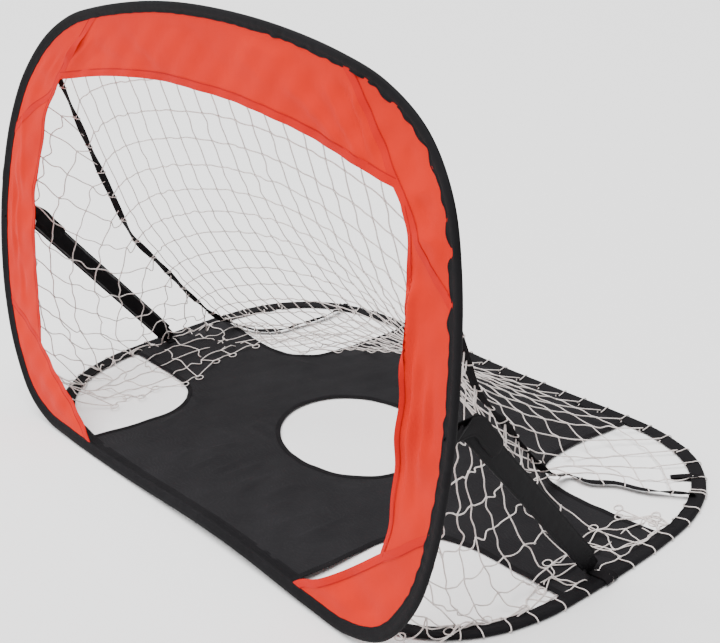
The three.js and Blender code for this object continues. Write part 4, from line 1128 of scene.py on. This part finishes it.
def add_strap(side, word):
    """The webbing of a ridge strap, clear of the floor."""
    points = evenly(STRAP_ROUTE[side], STRAP_PARTS)
    across, turn = strap_across(side, points)
    edge_on = STRAP_WIDTH / 2 * np.abs(np.sin(turn))
    points[:, 2] = np.maximum(points[:, 2], edge_on + 1)
    made = ribbon(f"ridge_strap_{word}_webbing", points, across, STRAP_WIDTH, STRAP_THICK, "webbing_black")
    hang_between(made, f"ridge_strap_{word}")


for hang_side, hang_word in SIDES:
    add_strap(hang_side, hang_word)


# ---------------------------------------------------------------- netting
PITCH = 48  # from knot to knot
CORD = 1.05  # the cord's radius
NET_INSET = SLEEVE_WIDTH  # the net hangs from the front sleeve's inner edge,
NET_BACK = 3  # just behind it
HEAD_CORNER = (440, 673)  # where the rear net's top corners hang on the front
FOOT_CORNER = {-1: (435, 745), 1: (530, 650)}  # and where its lower corners are laced to the base
FOOT_INSET = 20
FOOT_HEIGHT = 8
COLUMNS, ROWS = 22, 21  # of the rear net
REAR_SAG = 190  # how far below a straight line the rear net starts to settle
EDGE_SLACK, EDGE_COLUMNS = 8, 8  # more cord in each mesh of its outer columns
SLACK_ROWS = (2, 12)  # from the first of these rows down to just above the second
HIGH_ROWS = 8
HIGH_CORD, LOW_CORD = 0.8, 0.87  # the cord between columns as a share of the pitch, in those rows and below
WRAP_STEP = 57  # along the strap, between the cords that hold the rear net to it
FREE_WRAPS = 12  # so many of them before the strap reaches the floor
SIDE_FOOT = (525, 75)  # the lowest hook of a side net on the front
FIRST_HOOK = 110  # how far below its top corner the highest one is
LOW_HOOK_STEP = 14  # between the hooks near the foot
LACE_INSET = 24
LACE_FIRST, LACE_STEP = 47, 51  # along the base's side
LACES = 10
SIDE_COLUMNS = 13
COLUMN_HOLD, COLUMN_HOLD_STEP = 112, 69  # along the strap, where a side net's columns start
ROW_HOLD, ROW_HOLD_STEP = 150, 62  # and where its rows end
COLUMN_HOLD_CORD, ROW_HOLD_CORD = 24, 40  # the cord that holds them there
SIDE_ROWS = {-1: 15, 1: 14}
HOOKED_ROWS = 12  # so many of them hang from the front's side, and the rest near its foot
# The side net's row that is laced to the base, for each column from the front. The rest of it lies loose.
LACED_ROW = {-1: (12, 12, 11, 11, 10, 10, 11, 11, 11, 11), 1: (12,) * 10}
LOOSE_STEP = {-1: 33, 1: 38}  # how far inward each loose row lies beyond the last
LOOSE_START = 12
RESTING_COLUMNS = 12  # the left net's loose edge lies still on the sheet in these
SHEET_TOP = 5.0
SLACK = {-1: 1.05, 1: 1.07}  # the length of the side net's columns, as a share of the way down
BELLY_OUT = 400  # how far the slack columns start outward, for each share of slack
ROW_SPREAD = (1.0, 1.12)  # the cord in a side net's rows, as shares of the pitch
FIRST_MESH, LOOSE_MESH = 1.1, 1.2  # more of it next to the hooks, and in the loose rows
CORD_CURL = {"back": 0.9, "side_left": 3.0, "side_right": 3.2}  # how far a cord bends between two knots


class Web:
    """Knots joined by cords. A line is a row of knots with the length of cord from each to the next."""

    def __init__(self):
        self.points, self.pinned, self.bars, self.lines = [], [], [], []

    def knot(self, place, pinned=False):
        self.points.append(np.array(place, float))
        self.pinned.append(pinned)
        return len(self.points) - 1

    def line(self, part, knots, lengths):
        first = len(self.bars)
        for a, b, length in zip(knots, knots[1:], lengths):
            apart = float(np.linalg.norm(self.points[a] - self.points[b]))
            held = self.pinned[a] and self.pinned[b]
            self.bars.append((a, b, max(length, 1.03 * apart) if held else length))
        self.lines.append((part, first, len(knots) - 1))


def wrap_length(side, row):
    """Where a row of the rear net is held, along the strap."""
    if row <= FREE_WRAPS:
        return row * WRAP_STEP
    touch = FREE_WRAPS * WRAP_STEP
    return touch + (STRAP_LENGTH[side] - touch) * (row - FREE_WRAPS) / (ROWS - FREE_WRAPS)


def net_corners(hoop, places, inset):
    """Where a net's left and right corners are on a hoop."""
    return [hoop.nearest(side * places[side][0], places[side][1], inset) for side in (-1, 1)]


def weave_rear(web):
    """The rear net, from the front's top to the base's rear, between the two straps."""
    heads = net_corners(front_hoop, {-1: HEAD_CORNER, 1: HEAD_CORNER}, NET_INSET)
    feet = net_corners(base_hoop, FOOT_CORNER, FOOT_INSET)
    grid = np.zeros((COLUMNS + 1, ROWS + 1), int)
    for i in range(COLUMNS + 1):
        share = i / COLUMNS
        head_at, foot_at = (start + (end - start) * share for start, end in (heads, feet))
        head = on_front(*front_hoop.at(head_at, NET_INSET), NET_BACK)
        foot = on_base(*base_hoop.at(foot_at, FOOT_INSET), FOOT_HEIGHT - BASE_PLANE)
        for j in range(ROWS + 1):
            down = j / ROWS
            if i in (0, COLUMNS):
                side = -1 if i == 0 else 1
                grid[i, j] = web.knot(on_strap(side, wrap_length(side, j)), True)
                continue
            place = head * (1 - down) + foot * down
            place[2] = max(place[2] - REAR_SAG * math.sin(math.pi * down**0.8), 9)
            grid[i, j] = web.knot(place, j in (0, ROWS))
    for i in range(1, COLUMNS):
        edge = EDGE_SLACK * max(0, 1 - (min(i, COLUMNS - i) - 1) / EDGE_COLUMNS)
        web.line("back", grid[i], [PITCH + (edge if j in range(*SLACK_ROWS) else 0) for j in range(ROWS)])
    for j in range(1, ROWS):
        web.line("back", grid[:, j], [(HIGH_CORD if j < HIGH_ROWS else LOW_CORD) * PITCH] * COLUMNS)


def lace_place(side, column):
    """Where a column of a side net is laced to the base's sleeve."""
    y = LACE_FIRST + LACE_STEP * (column - 1)
    return on_base(*base_hoop.at(base_hoop.nearest(side * BASE_WIDTH / 2, y, LACE_INSET), LACE_INSET))[:2]


def weave_side(web, side, word):
    """A side net, between the front's side, the strap and the base's side."""
    chance = np.random.default_rng(12 + side)
    top, bottom = (front_hoop.nearest(side * x, up, NET_INSET) for x, up in (HEAD_CORNER, SIDE_FOOT))
    drop = abs(bottom - top) * front_hoop.round
    laced = dict(enumerate(LACED_ROW[side], start=1))
    rows = SIDE_ROWS[side]
    grid = np.full((rows + 1, SIDE_COLUMNS + 1), -1)
    for r in range(1, rows + 1):
        reach = drop + LOW_HOOK_STEP * (r - HOOKED_ROWS)
        if r <= HOOKED_ROWS:
            reach = FIRST_HOOK + (drop - FIRST_HOOK) * (r - 1) / (HOOKED_ROWS - 1)
        hook = front_hoop.at(top + (bottom - top) * reach / drop, NET_INSET)
        grid[r, 0] = web.knot(on_front(*hook, NET_BACK), True)
    holds = {c: on_strap(side, COLUMN_HOLD + COLUMN_HOLD_STEP * (c - 1)) for c in range(1, SIDE_COLUMNS + 1)}
    for c in range(1, SIDE_COLUMNS + 1):
        lace = lace_place(side, c)
        foot = np.array([*lace, FOOT_HEIGHT])
        last = laced.get(c, LACES)
        for r in range(c, rows + 1):
            if c in laced and r < last:
                share = (r - c + 0.5) / (last - c + 0.5)
                place = holds[c] * (1 - share) + foot * share
                place[0] -= side * (SLACK[side] - 1) * BELLY_OUT * math.sin(math.pi * share)
            elif c in laced and r == last:
                place = foot
            else:
                inward = side * (LOOSE_STEP[side] * (r - last) + LOOSE_START)
                place = (lace[0] - inward, lace[1] + chance.normal(0, 6), 12 + 16 * chance.random())
            resting = side < 0 and r == rows and c <= RESTING_COLUMNS
            if resting:
                place = (place[0], place[1], SHEET_TOP + CORD)
            grid[r, c] = web.knot(place, (c in laced and r == last) or resting)
    for c in range(1, SIDE_COLUMNS + 1):
        knots = list(grid[c:, c])
        lengths = [PITCH] * len(knots)
        tight = laced.get(c, c) - c
        if tight:
            way = np.linalg.norm(holds[c] - web.points[grid[laced[c], c]]) - 22
            lengths[:tight] = [SLACK[side] * way / tight] * tight
        if c < LACES:
            knots.insert(0, web.knot(holds[c], True))
            lengths.insert(0, COLUMN_HOLD_CORD)
        web.line(f"side_{word}", knots, lengths)
    for r in range(1, rows + 1):
        width = min(r, SIDE_COLUMNS)
        knots = list(grid[r, :width + 1])
        loose = LOOSE_MESH if r >= HOOKED_ROWS else 1.0
        lengths = [PITCH * chance.uniform(*ROW_SPREAD) * (loose if c else FIRST_MESH) for c in range(width)]
        if r < LACES:
            knots.append(web.knot(on_strap(side, ROW_HOLD + ROW_HOLD_STEP * (r - 1)), True))
            lengths.append(ROW_HOLD_CORD)
        web.line(f"side_{word}", knots, lengths)
    return grid


def apart(starts, ends, count):
    """Groups of bars in which no two share a knot, so that each group can be pulled tight at once."""
    used = [0] * count
    groups = []
    for bar, (a, b) in enumerate(zip(starts, ends)):
        k = 0
        while (used[a] | used[b]) >> k & 1:
            k += 1
        used[a] |= 1 << k
        used[b] |= 1 << k
        while len(groups) <= k:
            groups.append([])
        groups[k].append(bar)
    return [np.array(group) for group in groups]


BASE_RIM = on_base(*base_hoop.at(np.arange(720) / 720).T)[:, :2]
CORNER_END = 120  # beyond here the base's sides run straight back
RIM_RIGHT = BASE_RIM[(BASE_RIM[:, 0] > 400) & (BASE_RIM[:, 1] > CORNER_END)]
RIM_RIGHT = RIM_RIGHT[np.argsort(RIM_RIGHT[:, 1])]
SLEEVE_TOP = 9.3


HOLES_END, HOLES_START = 267, 494  # between the front and rear holes the sheet runs to its sides
HOLES_INNER = 282  # and between left and right holes from front to rear


def ground_under(points):
    """The height that a cord lies at: on the floor, the target sheet or the base's sleeve."""
    x, y = np.abs(points[:, 0]), points[:, 1]
    between = (y > HOLES_END) & (y < HOLES_START)
    sheet = (np.hypot(x, y - HOLE_CENTRE[1]) > HOLE_RADIUS) & ((x < HOLES_INNER) | between)
    height = np.where(sheet, SHEET_TOP, 0.0)
    near = points[:, 2] < 40
    gap = np.full(len(points), 200.0)
    gap[near] = np.linalg.norm(points[near, None, :2] - BASE_RIM[None], axis=2).min(1)
    return np.maximum(height, SLEEVE_TOP * np.clip((26 - gap) / 6, 0, 1)) + CORD


DRAG = 0.96  # the share of its speed that a knot keeps at each step
BEHIND_FRONT = 2  # how far behind the front plane every knot stays


def settle(points, pinned, starts, ends, lengths, steps, sweeps, pull):
    """Lets the knots fall, held by cords that can only pull, until they hang and lie at rest."""
    weight = np.where(pinned, 0.0, 1.0)
    groups = []
    for group in apart(starts, ends, len(points)):
        a, b = starts[group], ends[group]
        total = weight[a] + weight[b]
        held = total > 0
        share = (weight[a] / np.maximum(total, 1e-9))[held, None]
        groups.append((a[held], b[held], lengths[group][held], share))
    free = ~pinned
    before = points.copy()
    for step in range(steps):
        speed = DRAG * (points - before)
        before = points.copy()
        points[free] += speed[free]
        points[free, 2] -= pull
        for _ in range(sweeps):
            for a, b, length, share in groups:
                gap = points[b] - points[a]
                size = np.sqrt((gap * gap).sum(1)) + 1e-9
                gap *= (np.maximum(size - length, 0) / size)[:, None]
                points[a] += gap * share
                points[b] -= gap * (1 - share)
        side = np.interp(points[free, 1], *RIM_RIGHT.T[::-1]) - LACE_INSET
        points[free, 0] = np.clip(points[free, 0], -side, side)
        if step % 8 == 0:
            lowest = ground_under(points)
        hit = free & (points[:, 2] < lowest)
        points[hit, 2] = lowest[hit]
        before[hit] = points[hit]
        behind = (points - FRONT_ORIGIN) @ BEHIND
        hit = free & (behind < BEHIND_FRONT)
        points[hit] += (BEHIND_FRONT - behind[hit])[:, None] * BEHIND
    return points


BAR_PARTS = 3  # the cord between two knots is settled as so many links
SETTLING = 480, 24, 0.12  # steps, sweeps and pull for the knots alone
RELAXING = 160, 20, 0.08  # and then for every link


def drape(web):
    """The lines of the settled net, each as points with its knots at every third one."""
    points, pinned = np.array(web.points), np.array(web.pinned)
    starts, ends = (np.array([bar[k] for bar in web.bars]) for k in (0, 1))
    lengths = np.array([bar[2] for bar in web.bars])
    points = settle(points, pinned, starts, ends, lengths, *SETTLING)
    chance = np.random.default_rng(3)
    chains, extra = [], []
    for a, b in zip(starts, ends):
        chain = [a]
        for m in range(1, BAR_PARTS):
            extra.append(points[a] + (points[b] - points[a]) * m / BAR_PARTS)
            chain.append(len(points) + len(extra) - 1)
        chains.append([*chain, b])
    points = np.vstack([points, extra])
    pinned = np.concatenate([pinned, np.zeros(len(extra), bool)])
    points[~pinned] += chance.normal(0, 0.8, (int((~pinned).sum()), 3))
    chains = np.array(chains)
    points = settle(points, pinned, chains[:, :-1].ravel(), chains[:, 1:].ravel(),
                    np.repeat(lengths / BAR_PARTS, BAR_PARTS), *RELAXING)
    lines = {}
    for part, first, count in web.lines:
        run = chains[first:first + count]
        line = points[np.append(run[:, :-1].ravel(), run[-1, -1])]
        bend_by = chance.normal(0, CORD_CURL[part], line.shape)
        bend_by[::BAR_PARTS] = 0
        bend_by[:BAR_PARTS] = 0
        bend_by[-BAR_PARTS:] = 0
        line = line + bend_by
        line[:, 2] = np.maximum(line[:, 2], CORD)
        lines.setdefault(part, []).append(line)
    return points, lines


KNOT_RADII = np.array([0.7, 1.6, 2.0, 1.6, 0.7])


def knot_rings(place, ahead):
    """The lump of a knot, along one of its cords."""
    size = np.linalg.norm(ahead)
    ahead = ahead / size if size > 1e-6 else np.array([0.0, 0, 1])
    return tube_rings(place + np.linspace(-2.4, 2.4, len(KNOT_RADII))[:, None] * ahead, KNOT_RADII)


def ring_line(centre, first, second, count=15):
    """Points once round a loop, from its first direction."""
    turn = np.linspace(0, 2 * math.pi, count)[:, None]
    return centre + np.cos(turn) * first + np.sin(turn) * second


# Round the base's sleeve, from its stitched edge over the top and back underneath: inset and height.
SLEEVE_ROUND = [(24, 7.2), (14, 8.6), (6, 10.4), (1, 9.3), (-1.7, 6.5), (-1.9, 4), (-0.5, 2.2), (3, 1.3),
                (10, 1.3), (18, 1.6), (24.5, 2.6), (26, 4.8), (24, 7.2)]


def sleeve_wrap(t, slant):
    """A cord once round the base's sleeve, which slants along it."""
    shift = np.linspace(-slant / 2, slant / 2, len(SLEEVE_ROUND)) / base_hoop.round
    inset, height = np.array(SLEEVE_ROUND).T
    flat = base_hoop.at(t + shift, inset)
    return smooth_curve(on_base(*flat.T, height - BASE_PLANE), steps=3)


def strap_wrap(side, length):
    """A cord once round a ridge strap."""
    place = int(round(length / STRAP_LENGTH[side] * (STRAP_SAMPLES - 1)))
    near = STRAP_ROUTE[side][max(place - 1, 0):place + 2]
    across, _ = strap_across(side, evenly(STRAP_ROUTE[side], STRAP_PARTS))
    wide = across[min(int(round(place / (STRAP_SAMPLES - 1) * (STRAP_PARTS - 1))), STRAP_PARTS - 1)]
    along = (near[-1] - near[0]) / np.linalg.norm(near[-1] - near[0])
    wide = wide - along * wide.dot(along)
    wide /= np.linalg.norm(wide)
    thin = np.cross(along, wide)
    ring = ring_line(STRAP_ROUTE[side][place], (STRAP_WIDTH / 2 + CORD) * wide + 2 * along, 2.2 * thin)
    ring[:, 2] = np.maximum(ring[:, 2], CORD)
    return ring


def cord_object(part, tubes):
    """One net as a mesh of many tubes, each given as its rings."""
    faces, first = [], 0
    for rings in tubes:
        faces += loft(rings, first=first)
        first += rings.shape[0] * rings.shape[1]
    points = np.vstack([rings.reshape(-1, 3) for rings in tubes])
    made = make_object(f"net_{part}_cords", points, faces, "net_white")
    hang_between(made, f"net_{part}")


LOOP_OUT, LOOP_ALONG = 6.5, (0, 7.5, 1.5)  # the loops along a side net's loose edge


def add_nets():
    """The rear net and both side nets, with the cords that bind them to the sleeves and the straps."""
    web = Web()
    weave_rear(web)
    grids = {side: weave_side(web, side, word) for side, word in SIDES}
    points, lines = drape(web)
    tubes = {part: [] for part in lines}
    for part, runs in lines.items():
        for run in runs:
            tubes[part].append(tube_rings(smooth_curve(run, steps=3), CORD))
            for k in range(BAR_PARTS, len(run) - 1, BAR_PARTS):
                tubes[part].append(knot_rings(run[k], run[k + 1] - run[k - 1]))
    first, last = net_corners(base_hoop, FOOT_CORNER, 0.0)
    for i in range(COLUMNS + 1):
        t = first + (last - first) * i / COLUMNS
        tubes["back"].append(tube_rings(sleeve_wrap(t, 7 if i % 2 else -5), CORD, 5))
    for side, word in SIDES:
        part = tubes[f"side_{word}"]
        for row in range(1, ROWS):
            tubes["back"].append(tube_rings(strap_wrap(side, wrap_length(side, row)), CORD, 5))
        for k in range(LACES + 3):
            t = base_hoop.nearest(*lace_place(side, 1 + k), LACE_INSET)
            part.append(tube_rings(sleeve_wrap(t, 9 if k % 2 else -6), CORD, 5))
        outward = np.array([side * LOOP_OUT, 0, 0])
        for c in range(1, SIDE_COLUMNS + 1):
            end = points[grids[side][SIDE_ROWS[side], c]]
            ring = ring_line(end - outward, outward, np.array(LOOP_ALONG))
            ring[:, 2] = np.maximum(ring[:, 2], end[2])
            part.append(tube_rings(ring, CORD))
    for part, runs in tubes.items():
        cord_object(part, runs)


add_nets()


# ---------------------------------------------------------------- camera, light and floor
CAMERA_AT = Vector((1.31884, -1.21673, 1.01432))
CAMERA_TO = Vector((0.07347, -0.06454, 0.25750))
LENS_MM = 57.55
SENSOR_MM = 36
LIT_POINT = Vector((0, 0, 0.3))
FLOOR_HALF = 12
FLOOR_GREY = 0.95
WORLD_POWER = 0.5
SKY_AT, SKY_POWER, SKY_SPREAD = (-0.6, -0.8, 4.0), 6.0, math.radians(60)
KEY_AT, KEY_POWER, KEY_SIZE = (-2.6, -2.0, 1.6), 26, 0.5


def turned_to(target, at):
    """The turn of a camera or light that looks from one place to another."""
    return (target - Vector(at)).to_track_quat("-Z", "Y").to_euler()


def add_camera():
    """The camera that took the photo's view."""
    lens = bpy.data.cameras.new("camera")
    lens.sensor_width = SENSOR_MM
    lens.lens = LENS_MM
    lens.clip_start = 0.05
    camera = add_object("camera", lens)
    camera.location = CAMERA_AT
    camera.rotation_euler = turned_to(CAMERA_TO, CAMERA_AT)
    bpy.context.scene.camera = camera


def add_light(name, kind, at, power):
    """A light that faces the middle of the object, with its own settings left to the caller."""
    glow = bpy.data.lights.new(name, kind)
    glow.energy = power
    light = add_object(name, glow)
    light.location = at
    light.rotation_euler = turned_to(LIT_POINT, at)
    return glow


def add_floor():
    """A wide pale floor under the object."""
    made, _, shader = node_tree("floor_pale")
    shader.inputs["Base Color"].default_value = (FLOOR_GREY, FLOOR_GREY, FLOOR_GREY, 1)
    shader.inputs["Roughness"].default_value = 0.85
    shader.inputs["Specular IOR Level"].default_value = 0.1
    mesh = bpy.data.meshes.new("floor")
    square = [(x * FLOOR_HALF, y * FLOOR_HALF, 0) for x, y in ((-1, -1), (1, -1), (1, 1), (-1, 1))]
    mesh.from_pydata(square, [], [(0, 1, 2, 3)])
    mesh.materials.append(made)
    add_object("floor", mesh)


def add_world():
    """Even white light from all round."""
    world = bpy.data.worlds.new("studio")
    world.use_nodes = True
    sky = world.node_tree.nodes["Background"]
    sky.inputs["Color"].default_value = (1, 1, 1, 1)
    sky.inputs["Strength"].default_value = WORLD_POWER
    bpy.context.scene.world = world


add_camera()
add_floor()
add_world()
add_light("sky", "SUN", SKY_AT, SKY_POWER).angle = SKY_SPREAD
key = add_light("key", "AREA", KEY_AT, KEY_POWER)
key.shape = "DISK"
key.size = KEY_SIZE
